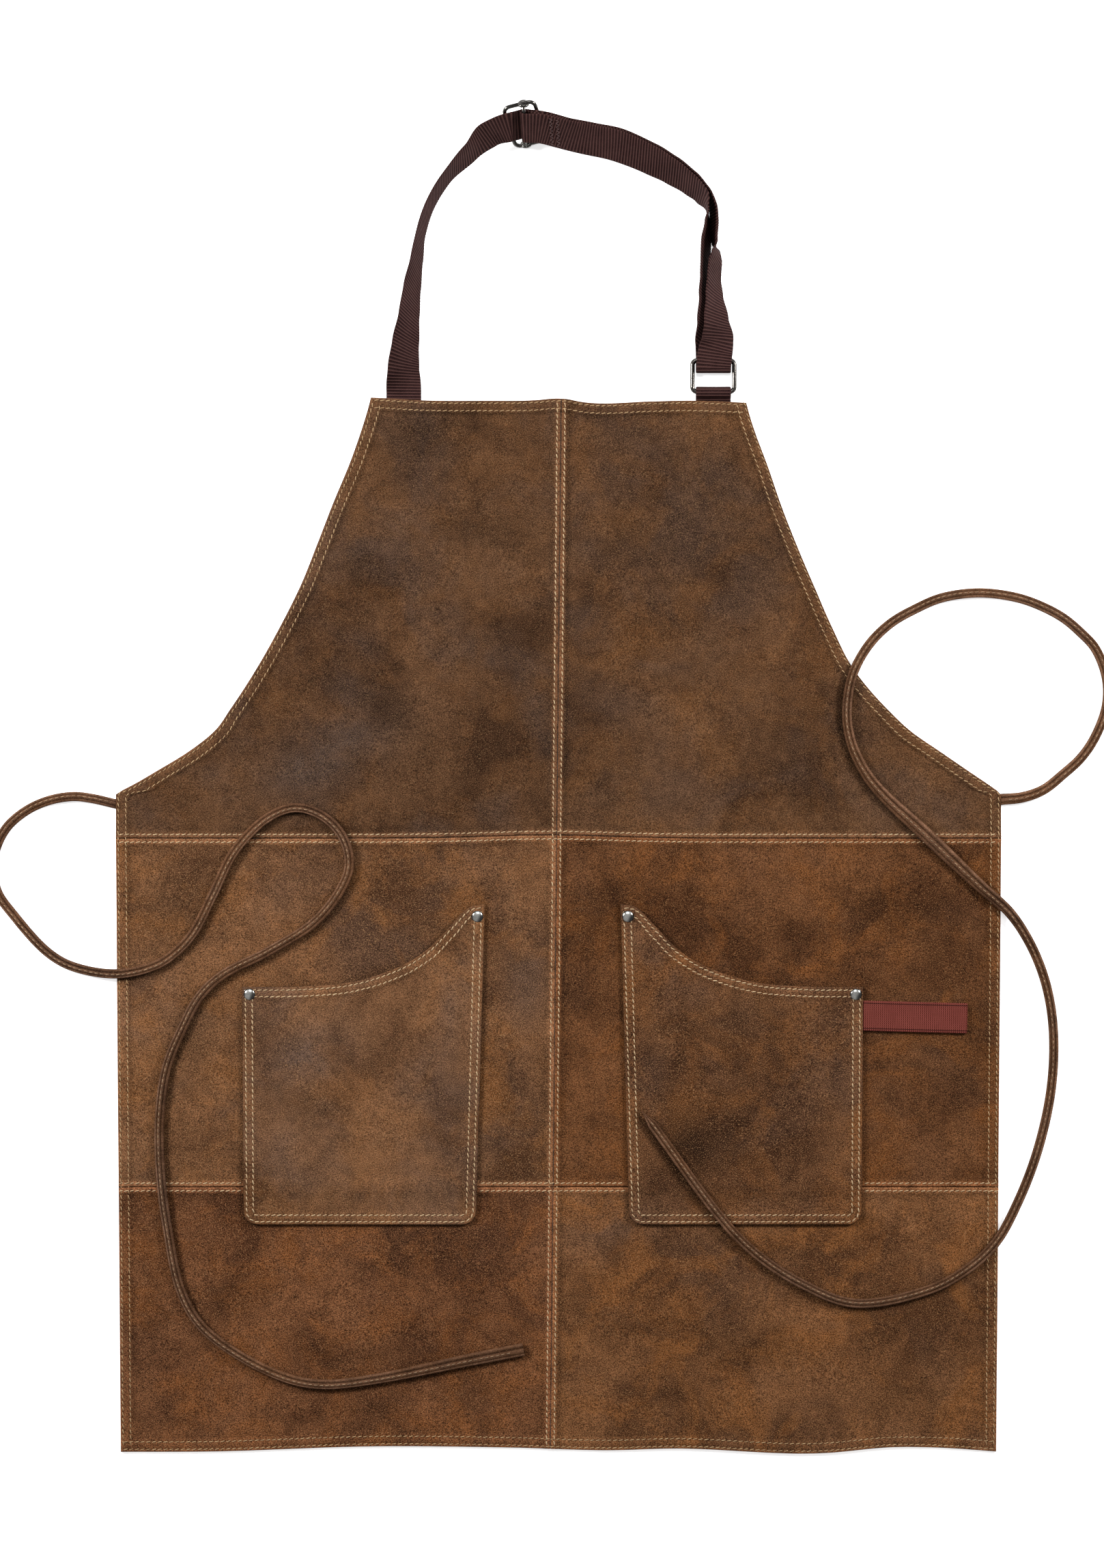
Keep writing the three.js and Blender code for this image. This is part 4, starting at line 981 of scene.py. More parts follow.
def grid_lines(near: Sequence[float], count: int) -> tuple[Array, Array]:
    """Lines across a grid that are close together by both its edges and even between.

    Args:
        near: distances from an edge of the closer lines.
        count: steps between the last close lines.

    Returns:
        For each line the share of the way across, and the distance to add to it.
    """
    near = np.array(near)
    share = np.linspace(0, 1, count + 1)
    middle = near[-1] * (1 - 2 * share)
    shares = np.concatenate([np.zeros(len(near) - 1), share, np.ones(len(near) - 1)])
    return shares, np.concatenate([near[:-1], middle, -near[:-1][::-1]])


HEM_LINES = (0, 0.2, 0.5, 0.9, 1.4, 1.9, 2.5, 3.3, 4.6, 5.9, 6.7, 7.3, 7.9, 8.6, 9.4, 10.4, 12.5)


@dataclass
class Panel:
    """One leather panel between two heights, on one side of the middle seam."""

    name: str
    side: int
    low: float
    high: float
    tone: Tone
    pitch: float = 3.4
    bib_wide: float = 250.0
    # Painted shade round the pockets' edges on the panel: its darkness and its reach
    pocket_edge_shade: float = 0.26
    painted_shade_reach: float = 2.6

    def plan(self) -> tuple[Array, Array]:
        """Places of its grid: close to its edges its lines follow them, and the lowest edge follows the wavy
        hem.

        Returns:
            Plan places across, and plan heights.
        """
        wide = WAIST_HALF if self.high < 1 else self.bib_wide
        column, offset = grid_lines(HEM_LINES, round(wide / self.pitch))
        row, rise = grid_lines(HEM_LINES, round((self.high - self.low) / self.pitch))
        flat = (self.low + row * (self.high - self.low) + rise)[:, None]
        outer = FORM.half_width(np.full_like(flat, self.side), flat)
        slope = FORM.slope(np.full_like(flat, self.side), flat)
        inner = self.side * FORM.seam_x(flat) + SEAM_SHUT
        inwards = offset[None, :] * np.where(column > 0.5, slope, 1)
        x = self.side * (inner + column[None, :] * (outer - inner) + inwards)
        low = FORM.bottom(x) if self.low < HEM_Y + 1 else np.full_like(x, self.low)
        high = FORM.brow(x) if self.high > BIB_HEIGHT - 1 else np.full_like(x, self.high)
        return x, low + row[:, None] * (high - low) + rise[:, None]

    def build(self) -> bpy.types.Object:
        """Build the closed panel and dress it.

        Returns:
            The new piece.
        """
        x, y = self.plan()
        under, over = FORM.underside(x, y), FORM.top(x, y)
        upper = np.stack([x, y, np.maximum(over, under + 0.7)], axis=-1).reshape(-1, 3)
        lower = np.stack([x, y, under], axis=-1).reshape(-1, 3)
        marks = {"wear_and_highlight": FORM.wear_and_highlight(x, y), "shade": self.shade(x, y), "dull": FORM.stains(x, y, DULLNESS)}
        marks = {mark: np.tile(values.ravel(), 2) for mark, values in marks.items()}
        points = put_down(np.vstack([upper, lower]))
        piece = lay_mesh(self.name + "_leather", points, shell_faces(*x.shape), marks)
        finish_piece(piece, self.tone.value.make(), "leather", self.name)
        return piece

    def shade(self, x: Array, y: Array) -> Array:
        """The form's shade, with painted shade round a pocket's edges."""
        near = np.minimum(*(np.abs(pocket.outside(x, y)) for pocket in POCKETS))
        return np.clip(FORM.shade(x, y) + self.pocket_edge_shade * hump(near, 0, self.painted_shade_reach), 0, 1)


@dataclass
class Pocket:
    """A patch pocket: straight sides, round lower corners and a curved, slanting mouth."""

    name: str
    mirror: int
    tone: Tone
    inner_top: float = 48.5
    inner_bottom: float = 55.0
    width_top: float = 174.5
    width_bottom: float = 166.5
    belly: float = 1.2
    loft: float = 0.35
    hem: float = 7.6
    hem_fold: float = 0.75
    rim: float = 1.2

    def sides(self, above: Array) -> tuple[Array, Array]:
        """Distance of the inner edge from the seam, and the width, at a height above the bottom.

        Args:
            above: heights above the pocket's bottom.

        Returns:
            The distances and the widths.
        """
        share = above / (POCKET_HEIGHT + POCKET_RISE)
        inner = self.inner_bottom + (self.inner_top - self.inner_bottom) * share
        return inner, self.width_bottom + (self.width_top - self.width_bottom) * share

    def mouth(self, across: Array) -> Array:
        """Height of the mouth above the bottom, from the outer corner, 0, to the inner one, 1."""
        return POCKET_HEIGHT + POCKET_RISE * eased(MOUTH, 1, across)

    def steep(self, across: Array) -> Array:
        """Length of the mouth for each millimetre across."""
        return np.hypot(1, (self.mouth(across + 0.01) - self.mouth(across - 0.01)) / (0.02 * self.width_top))

    def spot(self, across: Array, above: Array) -> tuple[Array, Array]:
        """Plan place of a point of the pocket.

        Args:
            across: shares across, from the outer edge to the inner one.
            above: heights above the pocket's bottom.

        Returns:
            Places across, and heights.
        """
        inner, width = self.sides(above)
        out = self.mirror * (inner + width * (1 - across))
        return FORM.seam_x(np.array(POCKET_BOTTOM)) + out, POCKET_BOTTOM + above

    def share(self, x: Array, y: Array) -> tuple[Array, Array]:
        """A plan place as a share across from the outer edge and a height above the bottom.

        Args:
            x: plan places across.
            y: plan heights.

        Returns:
            The shares and the heights.
        """
        above = y - POCKET_BOTTOM
        inner, width = self.sides(above)
        out = self.mirror * (x - FORM.seam_x(np.array(POCKET_BOTTOM)))
        return 1 - (out - inner) / width, above

    def outside(self, x: Array, y: Array) -> Array:
        """Distance outwards from the pocket's edge, negative inside it.

        Args:
            x: plan places across.
            y: plan heights.

        Returns:
            The distances.
        """
        across, above = self.share(x, y)
        side = (np.abs(across - 0.5) - 0.5) * self.width_bottom
        high = (above - self.mouth(across)) / self.steep(across)
        return np.maximum(side, np.maximum(high, -above))

    def inset(self, across: Array, above: Array) -> Array:
        """Distance inwards from the nearest edge, round the lower corners too.

        Args:
            across: shares across, from the outer edge to the inner one.
            above: heights above the pocket's bottom.

        Returns:
            The distances.
        """
        side = np.minimum(across, 1 - across) * self.width_bottom
        corner = POCKET_CORNER - np.hypot(POCKET_CORNER - np.minimum(side, POCKET_CORNER),
                                          POCKET_CORNER - np.minimum(above, POCKET_CORNER))
        high = (self.mouth(across) - above) / self.steep(across)
        return np.maximum(0, np.minimum(corner, high))

    def base(self, x: Array, y: Array) -> Array:
        """Height of the leather that the pocket lies on, with the ridge of the seam below it."""
        ridge = 0.8 * (1 - smoothstep(np.abs(y + WAIST_PANEL), 3.5, 7.5))
        return FORM.underside(x, y) + LEATHER + ridge + 0.6 * FORM.ripples(x, y)

    def top(self, across: Array, above: Array) -> Array:
        """Height of its upper face: two sewn edges, a belly between them, and slack at the mouth.

        Args:
            across: shares across, from the outer edge to the inner one.
            above: heights above the pocket's bottom.

        Returns:
            The heights.
        """
        x, y = self.spot(across, above)
        inset = self.inset(across, above)
        up = np.clip(above / self.mouth(across), 0, 1)
        slack = self.belly * np.sin(math.pi * np.clip(across, 0, 1)) * np.sin(math.pi / 2 * up)
        crease = 0.35 * np.sin(x / 21.0 + 0.8 * np.sin(y / 33.0)) * smoothstep(inset, 8, 30)
        hem = FORM.fold(inset, self.hem, self.hem_fold, FORM.pocket_rows, self.rim)
        return self.base(x, y) + LEATHER + self.loft + slack + crease + hem

    def build(self) -> bpy.types.Object:
        """Build the closed pocket and dress it.

        Returns:
            The new piece.
        """
        near = (0, 0.25, 0.6, 1.1, 1.7, 2.3, 2.9, 3.8, 5.2, 6.3, 7.0, 7.7, 8.6, 9.6, 11.5, 15)
        column, offset = grid_lines(near, 46)
        row, rise = grid_lines(near, 60)
        across = (column + offset / self.width_bottom)[None, :]
        side = self.width_bottom * np.minimum(across, 1 - across)
        short = np.clip(POCKET_CORNER - side, 0, POCKET_CORNER)
        corner = POCKET_CORNER - np.sqrt(POCKET_CORNER**2 - short**2)
        steep = np.where(row[:, None] > 0.5, self.steep(across), 1)
        above = corner + row[:, None] * (self.mouth(across) - corner) + rise[:, None] * steep
        across = np.broadcast_to(across, above.shape)
        x, y = self.spot(across, above)
        over = self.top(across, above)
        under = np.minimum(self.base(x, y) + 0.1, over - 0.5)
        upper = np.stack([x, y, over], axis=-1).reshape(-1, 3)
        lower = np.stack([x, y, under], axis=-1).reshape(-1, 3)
        inset = self.inset(across, above)
        wear_and_highlight = 0.04 * (1 - smoothstep(inset, 5.0, 9.0))
        # Painted shade at the foot of the hem's fold, darker along the rim, then the stains and the ties' painted
        # shadows
        shade = 0.2 * hump(inset, 9.2, 1.6) + 0.5 * hump(inset, 0, 0.5)
        shade += STAIN_WEIGHT * FORM.stains(x, y, DARKNESS)
        # The ties' painted shadows on the pocket
        shade += TIE_SHADOW * FORM.painted_tie_shadows(x, y)
        marks = {"wear_and_highlight": wear_and_highlight, "shade": np.clip(shade, 0, 1), "dull": FORM.stains(x, y, DULLNESS)}
        marks = {mark: np.tile(values.ravel(), 2) for mark, values in marks.items()}
        points = put_down(np.vstack([upper, lower]))
        piece = lay_mesh(self.name + "_leather", points, shell_faces(*x.shape), marks)
        finish_piece(piece, self.tone.value.make(), "leather", self.name)
        return piece


POCKETS = (Pocket("pocket_left", -1, Tone.POCKET_LEFT), Pocket("pocket_right", 1, Tone.POCKET_RIGHT))


def surface(x: Array, y: Array) -> Array:
    """Height of the uppermost leather at a place, and 0 off the apron.

    Args:
        x: plan places across.
        y: plan heights.

    Returns:
        The heights.
    """
    on = (y < FORM.brow(x)) & (y > FORM.bottom(x)) & (np.abs(x) < FORM.half_width(x, y))
    height = np.where(on, FORM.top(x, y), 0)
    for pocket in POCKETS:
        across, above = pocket.share(x, y)
        height = np.where(pocket.outside(x, y) < 0, pocket.top(across, above), height)
    return height


# Thread

@dataclass
class Stitches:
    """Rows of thread as one piece: each stitch a small sunk-ended bead that slants a little off its row."""

    name: str
    pitch: float = 4.1
    long: float = 3.75
    thick: float = 0.46
    slant: float = 0.24

    def bead(self) -> tuple[Array, list[Array]]:
        """One stitch: five-sided rings along a low arch, thinner and deeper towards its tips.

        Returns:
            Its points about its own middle, and its faces.
        """
        along = np.array([-0.5, -0.36, 0.0, 0.36, 0.5])
        girth = np.array([0.25, 0.8, 1.0, 0.8, 0.25])
        rise = np.array([-0.42, 0.1, 0.26, 0.1, -0.42])
        turn = np.arange(5) * 2 * math.pi / 5 + math.pi / 10
        ring = np.stack([np.zeros(5), np.cos(turn), np.sin(turn)], axis=1)
        rings = ring[None] * girth[:, None, None] * self.thick
        rings[..., 0] += along[:, None] * self.long
        rings[..., 2] += rise[:, None]
        return rings.reshape(-1, 3), tube_faces(5, 5, False)

    def build(self, rows: Sequence[Array], finish: Thread, slot: str = "leather") -> bpy.types.Object:
        """Lay a stitch at each pitch of each row.

        Args:
            rows: lines of points on the surface.
            finish: the thread's finish.
            slot: the record's slot.

        Returns:
            The new piece.
        """
        places, forwards = [], []
        for row in rows:
            points, _ = evenly_along(row, self.pitch / 2)
            places.append(points[1:-1:2])
            forwards.append(unit(points[2::2] - points[:-2:2])[:len(places[-1])])
        place, forward = np.vstack(places), np.vstack(forwards)
        side = unit(np.cross(np.array([0, 0, 1.0]), forward))
        forward = unit(forward + self.slant * side)
        side = unit(np.cross(np.array([0, 0, 1.0]), forward))
        up = np.cross(forward, side)
        bead, faces = self.bead()
        axes = np.stack([forward, side, up], axis=1)
        points = place[:, None, :] + np.einsum("sk,nkd->nsd", bead, axes)
        starts = (np.arange(len(place)) * len(bead))[:, None, None]
        blocks = [(starts + block[None]).reshape(-1, block.shape[1]) for block in faces]
        piece = lay_mesh(self.name, put_down(points.reshape(-1, 3)), blocks)
        finish_piece(piece, finish.make(), slot)
        return piece


def on_top(x: Array, y: Array) -> Array:
    """A row of points on the leather."""
    return np.stack([x, y, FORM.top(x, y)], axis=-1)


def stretches(row: Array, keep: Array) -> list[Array]:
    """The stretches of a row that are kept, cut where it isn't."""
    cuts = np.flatnonzero(np.diff(keep.astype(int))) + 1
    return [part for part, kept in zip(np.split(row, cuts), np.split(keep, cuts)) if kept[0] and len(part) > 4]


def body_rows() -> dict[str, list[Array]]:
    """The rows of thread along the hems and the seams, by the piece that they make.

    Returns:
        Lists of rows of points.
    """
    y = np.linspace(HEM_Y + 1.5, BIB_HEIGHT - 1.5, 900)
    hems, seams = [], []
    for inset in FORM.hem_rows:
        for side in (-1, 1):
            sided = np.full_like(y, side)
            x = side * (FORM.half_width(sided, y) - inset * FORM.slope(sided, y))
            hems.append(on_top(x, y))
        across = np.linspace(-BIB_TOP_HALF + 2, BIB_TOP_HALF - 2, 300)
        hems.append(on_top(across, FORM.brow(across) - inset))
        across = np.linspace(-WAIST_HALF + 5, WAIST_HALF - 5, 700)
        hems.append(on_top(across, FORM.bottom(across) + inset))
    for side in (-1, 1):
        seams.append(on_top(FORM.seam_x(y) + side * FORM.seam_row, y))
        for level in (0.0, -WAIST_PANEL):
            x = np.linspace(-WAIST_HALF + 2, WAIST_HALF - 2, 700)
            row = on_top(x, np.full_like(x, level + side * FORM.seam_row))
            keep = np.minimum(*(pocket.outside(row[:, 0], row[:, 1]) for pocket in POCKETS)) > 1
            seams += stretches(row, keep)
    return {"thread_hems": hems, "thread_seams": seams}


def pocket_rows(pocket: Pocket) -> list[Array]:
    """The rows of thread of a pocket: round its sides and bottom, and along its mouth.

    Args:
        pocket: the pocket.

    Returns:
        Its rows of points.
    """
    rows = []
    width = pocket.width_bottom
    for inset in FORM.pocket_rows:
        turn = np.linspace(0, math.pi / 2, 12)[1:-1]
        radius = POCKET_CORNER - inset
        side = np.linspace(0, 1, 90)
        first, last = inset / width, 1 - inset / width
        tops = [float((pocket.mouth(np.array(end)) - inset * pocket.steep(np.array(end)))) for end in (first, last)]
        down = np.stack([np.full(90, inset), tops[0] + (POCKET_CORNER - tops[0]) * side], axis=1)
        bend = np.stack([POCKET_CORNER - radius * np.cos(turn), POCKET_CORNER - radius * np.sin(turn)], axis=1)
        along = np.stack([POCKET_CORNER + (width - 2 * POCKET_CORNER) * side, np.full(90, inset)], axis=1)
        rise = np.stack([np.full(90, width - inset), POCKET_CORNER + (tops[1] - POCKET_CORNER) * side], axis=1)
        line = np.vstack([down, bend, along, np.stack([width - bend[::-1, 0], bend[::-1, 1]], axis=1), rise])
        across = first + (last - first) * side
        lips = np.stack([across * width, pocket.mouth(across) - inset * pocket.steep(across)], axis=1)
        for part in (line, lips):
            x, y = pocket.spot(part[:, 0] / width, part[:, 1])
            rows.append(np.stack([x, y, pocket.top(part[:, 0] / width, part[:, 1])], axis=1))
    return rows


# Hardware and trimmings

def rivet(name: str) -> bpy.types.Object:
    """A domed rivet head: a low flange, a step and a dome, turned about its middle.

    Args:
        name: the solid that it stands for.

    Returns:
        The new piece.
    """
    low, high = (np.array(corner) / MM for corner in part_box(name))
    radius, middle = HEAD_SHARE * (high[1] - low[1]) / 2, (low + high) / 2
    turn = np.linspace(0, math.pi / 2, 9)
    dome = np.stack([0.94 * radius * np.cos(turn), 0.35 + 1.75 * np.sin(turn)], axis=1)[:-1]
    profile = np.vstack([[(radius * 0.9, -1.2), (radius, 0), (radius, 0.22), (0.97 * radius, 0.34)], dome])
    sides = 36
    spin = np.arange(sides) * 2 * math.pi / sides
    rings = np.stack([profile[:, :1] * np.cos(spin), profile[:, :1] * np.sin(spin),
                      np.broadcast_to(profile[:, 1:], (len(profile), sides))], axis=-1).reshape(-1, 3)
    tip = np.array([[0, 0, dome[-1, 1] + 0.02]])
    points = np.vstack([rings, tip]) + np.array([middle[0], middle[1] - SHIFT_Y, low[2] - 0.2])
    last = (len(profile) - 1) * sides
    here = np.arange(sides)
    cap = np.stack([last + here, last + (here + 1) % sides, np.full(sides, len(rings))], axis=1)
    faces = [grid_faces(len(profile), sides, wrap=True), cap, here[::-1][None]]
    # The shade mark paints the dome's reflections: a dark rim, and dark crescents on both sides of a bright band
    # across it
    aside, up = (points[:, 0] - middle[0]) / radius, (points[:, 1] - middle[1] + SHIFT_Y) / radius
    slant = 0.93 * aside - 0.36 * up
    painted_reflection = np.maximum(0.93 * smoothstep(slant, 0.0, 0.55), 0.9 * smoothstep(-slant, 0.42, 0.75))
    marks = {"shade": np.maximum(smoothstep(np.hypot(aside, up), 0.7, 1.0), painted_reflection)}
    piece = lay_mesh(name + "_head", put_down(points), faces, marks)
    finish_piece(piece, Metal("nickel_" + name, rgba(0.9, 0.88, 0.83), 0.22).make(), "nickel", name)
    return piece


@dataclass
class WireLoop:
    """A rounded rectangle of round wire."""

    width: float
    height: float
    wire: float
    corner: float

    def rings(self, sides: int = 16, arc: int = 8) -> Array:
        """Rings of points about its middle line, in its own plane: straight sides and quarter circles.

        Args:
            sides: points in a ring.
            arc: steps in a quarter circle.

        Returns:
            The rings, one a row.
        """
        turn = (np.repeat(np.arange(4), arc + 1) + np.tile(np.linspace(0, 1, arc + 1), 4)) * math.pi / 2
        quarter = np.repeat(np.arange(4), arc + 1)
        sign_x = np.where((quarter == 0) | (quarter == 3), 1, -1)
        sign_y = np.where(quarter < 2, 1, -1)
        out = np.stack([np.cos(turn), np.sin(turn), np.zeros_like(turn)], axis=1)
        corners = np.stack([sign_x * (self.width / 2 - self.corner), sign_y * (self.height / 2 - self.corner),
                            np.zeros_like(turn)], axis=1)
        middles = corners + out * (self.corner - self.wire / 2)
        spin = np.arange(sides) * 2 * math.pi / sides
        section = self.wire / 2 * np.stack([np.cos(spin), np.sin(spin)], axis=1)
        return carried(section, middles, out, np.broadcast_to([0, 0, 1.0], out.shape))


def along_run(rows: Array) -> tuple[Array, Array]:
    """Stations of a run of the neck strap.

    The middle lies half the leaning width's height off the floor, plus the lift, and the way to the right-
    hand edge is square to the heading and leans by the row's angle.

    Args:
        rows: share across, share up, lean and lift of each station.

    Returns:
        The middles, and the ways to the right-hand edge.
    """
    lean = rows[:, 2] * RAD
    lift = rows[:, 3] * WEBBING_WIDTH
    high = WEBBING_WIDTH / 2 * np.abs(np.sin(lean)) + WEBBING / 2 * np.abs(np.cos(lean)) + lift
    middles = np.stack([rows[:, 0] * NECK_HALF, BIB_HEIGHT + rows[:, 1] * NECK_RISE, high], axis=1)
    steps = np.vstack([middles[1] - middles[0], middles[2:] - middles[:-2], middles[-1] - middles[-2]])
    heading = np.arctan2(steps[:, 1], steps[:, 0])
    rights = np.stack([np.sin(heading) * np.cos(lean), -np.cos(heading) * np.cos(lean), np.sin(lean)], axis=1)
    return middles, rights


@dataclass
class Slider:
    """The wire slider on the neck strap, whose bar is looped round the ends of its frame."""

    long: float = 25.5
    wire: float = 3.0
    corner: float = 6.0
    play: float = 0.6
    lean: float = 45.0
    heading: float = 4.0
    bar: float = 1.2
    across: float = -0.217
    up: float = 0.905
    frame_skew: float = 12.0
    sewn_end: float = 27.0
    sewn_drop: float = 6.0
    sewn_rise: float = 1.2

    @property
    def wire_at(self) -> float:
        """How far from its middle the wires of its two ends run."""
        return self.long / 2 - self.wire / 2

    @property
    def loop(self) -> float:
        """Radius of the bar's loops about the frame's wire."""
        return self.wire / 2 + GAP + self.bar

    @property
    def half(self) -> float:
        """Half its height, to the middle of the wire."""
        return WEBBING_WIDTH / 2 + self.play + 2 * self.bar + GAP + self.wire / 2

    def axes(self) -> tuple[Array, Array]:
        """Its own axes as rows, along and across the webbing and off its face, and its middle.

        Returns:
            The axes, and the middle.
        """
        heading, lean = self.heading * RAD, self.lean * RAD
        along = np.array([math.cos(heading), math.sin(heading), 0])
        across = np.array([-math.sin(heading) * math.cos(lean), math.cos(heading) * math.cos(lean), math.sin(lean)])
        high = self.half * math.sin(lean) + self.loop + self.bar
        middle = np.array([self.across * NECK_HALF, BIB_HEIGHT + self.up * NECK_RISE, high])
        return np.stack([along, across, np.cross(along, across)]), middle

    def place(self, points: Array) -> Array:
        """Its own points as plan points."""
        axes, middle = self.axes()
        return middle + points @ axes

    def crossing(self) -> tuple[tuple[Array, Array], tuple[Array, Array]]:
        """Stations of the webbing where it threads the slider, and where it is sewn back round the bar.

        Returns:
            For each of the two, its middles and its ways to the right-hand edge.
        """
        wire_at = self.wire_at
        over = self.wire / 2 + 2 * GAP + WEBBING / 2
        wrap = self.bar + GAP + WEBBING / 2
        layer = WEBBING + GAP
        deep = self.loop - wrap - layer
        diagonal = wrap * math.sqrt(0.5)
        drop = self.sewn_drop
        through = [(-wire_at, over, 0), (-wire_at / 2, (over + deep) / 2, 0), (0, deep, 0),
                   (wire_at / 2, (over + deep) / 2, 0), (wire_at, over, 0)]
        sewn = [(self.sewn_end, over + 2 * layer + self.sewn_rise, -drop), (wire_at, over + 2 * layer, -drop / 6),
                (0, self.loop + wrap, 0), (-diagonal, self.loop + diagonal, 0), (-wrap, self.loop, 0),
                (-diagonal, self.loop - diagonal, 0), (0, self.loop - wrap, 0), (wire_at, over + layer, -drop / 6),
                (self.sewn_end, over + layer + self.sewn_rise, -drop)]
        right = -self.axes()[0][1]
        made = []
        for places in (through, sewn):
            middles = self.place(np.array(places)[:, [0, 2, 1]])
            made.append((middles, np.broadcast_to(right, middles.shape)))
        return made[0], made[1]

    def build(self) -> None:
        """Build its frame and its bar."""
        metal = Metal("gunmetal_slider", rgba(0.1, 0.095, 0.088), 0.22).make()
        rings = WireLoop(self.long, 2 * self.half + self.wire, self.wire, self.corner).rings()
        faces = tube_faces(len(rings), rings.shape[1], True)
        cos, sin = math.cos(self.frame_skew * RAD), math.sin(self.frame_skew * RAD)
        skewed = rings.reshape(-1, 3) @ np.array([(cos, sin, 0), (-sin, cos, 0), (0, 0, 1)])
        piece = lay_mesh("slider_frame_wire", put_down(self.place(skewed)), faces)
        finish_piece(piece, metal, "wire", "slider_frame")
        sides = 14
        spin = np.arange(sides) * 2 * math.pi / sides
        section = self.bar * np.stack([np.cos(spin), np.sin(spin)], axis=1)
        reach = np.linspace(-self.half, self.half, 5)
        rod = carried(section, np.stack([0 * reach, reach, 0 * reach + self.loop], axis=1),
                      np.broadcast_to([1.0, 0, 0], (5, 3)), np.broadcast_to([0, 0, 1.0], (5, 3)))
        turn = np.arange(28) * 2 * math.pi / 28
        out = np.stack([np.cos(turn), 0 * turn, np.sin(turn)], axis=1)
        sideways = np.broadcast_to([0, 1.0, 0], out.shape)
        ends = [np.array([0, end * self.half, 0]) for end in (-1, 1)]
        eyes = [carried(section, out * self.loop + end, out, sideways) for end in ends]
        parts = [(rod, False), (eyes[0], True), (eyes[1], True)]
        points, blocks, first = [], [], 0
        for part, closed in parts:
            blocks += [block + first for block in tube_faces(len(part), sides, closed)]
            points.append(part.reshape(-1, 3))
            first += len(points[-1])
        piece = lay_mesh("slider_bar_wire", put_down(self.place(np.vstack(points))), blocks)
        finish_piece(piece, metal, "wire", "slider_bar")


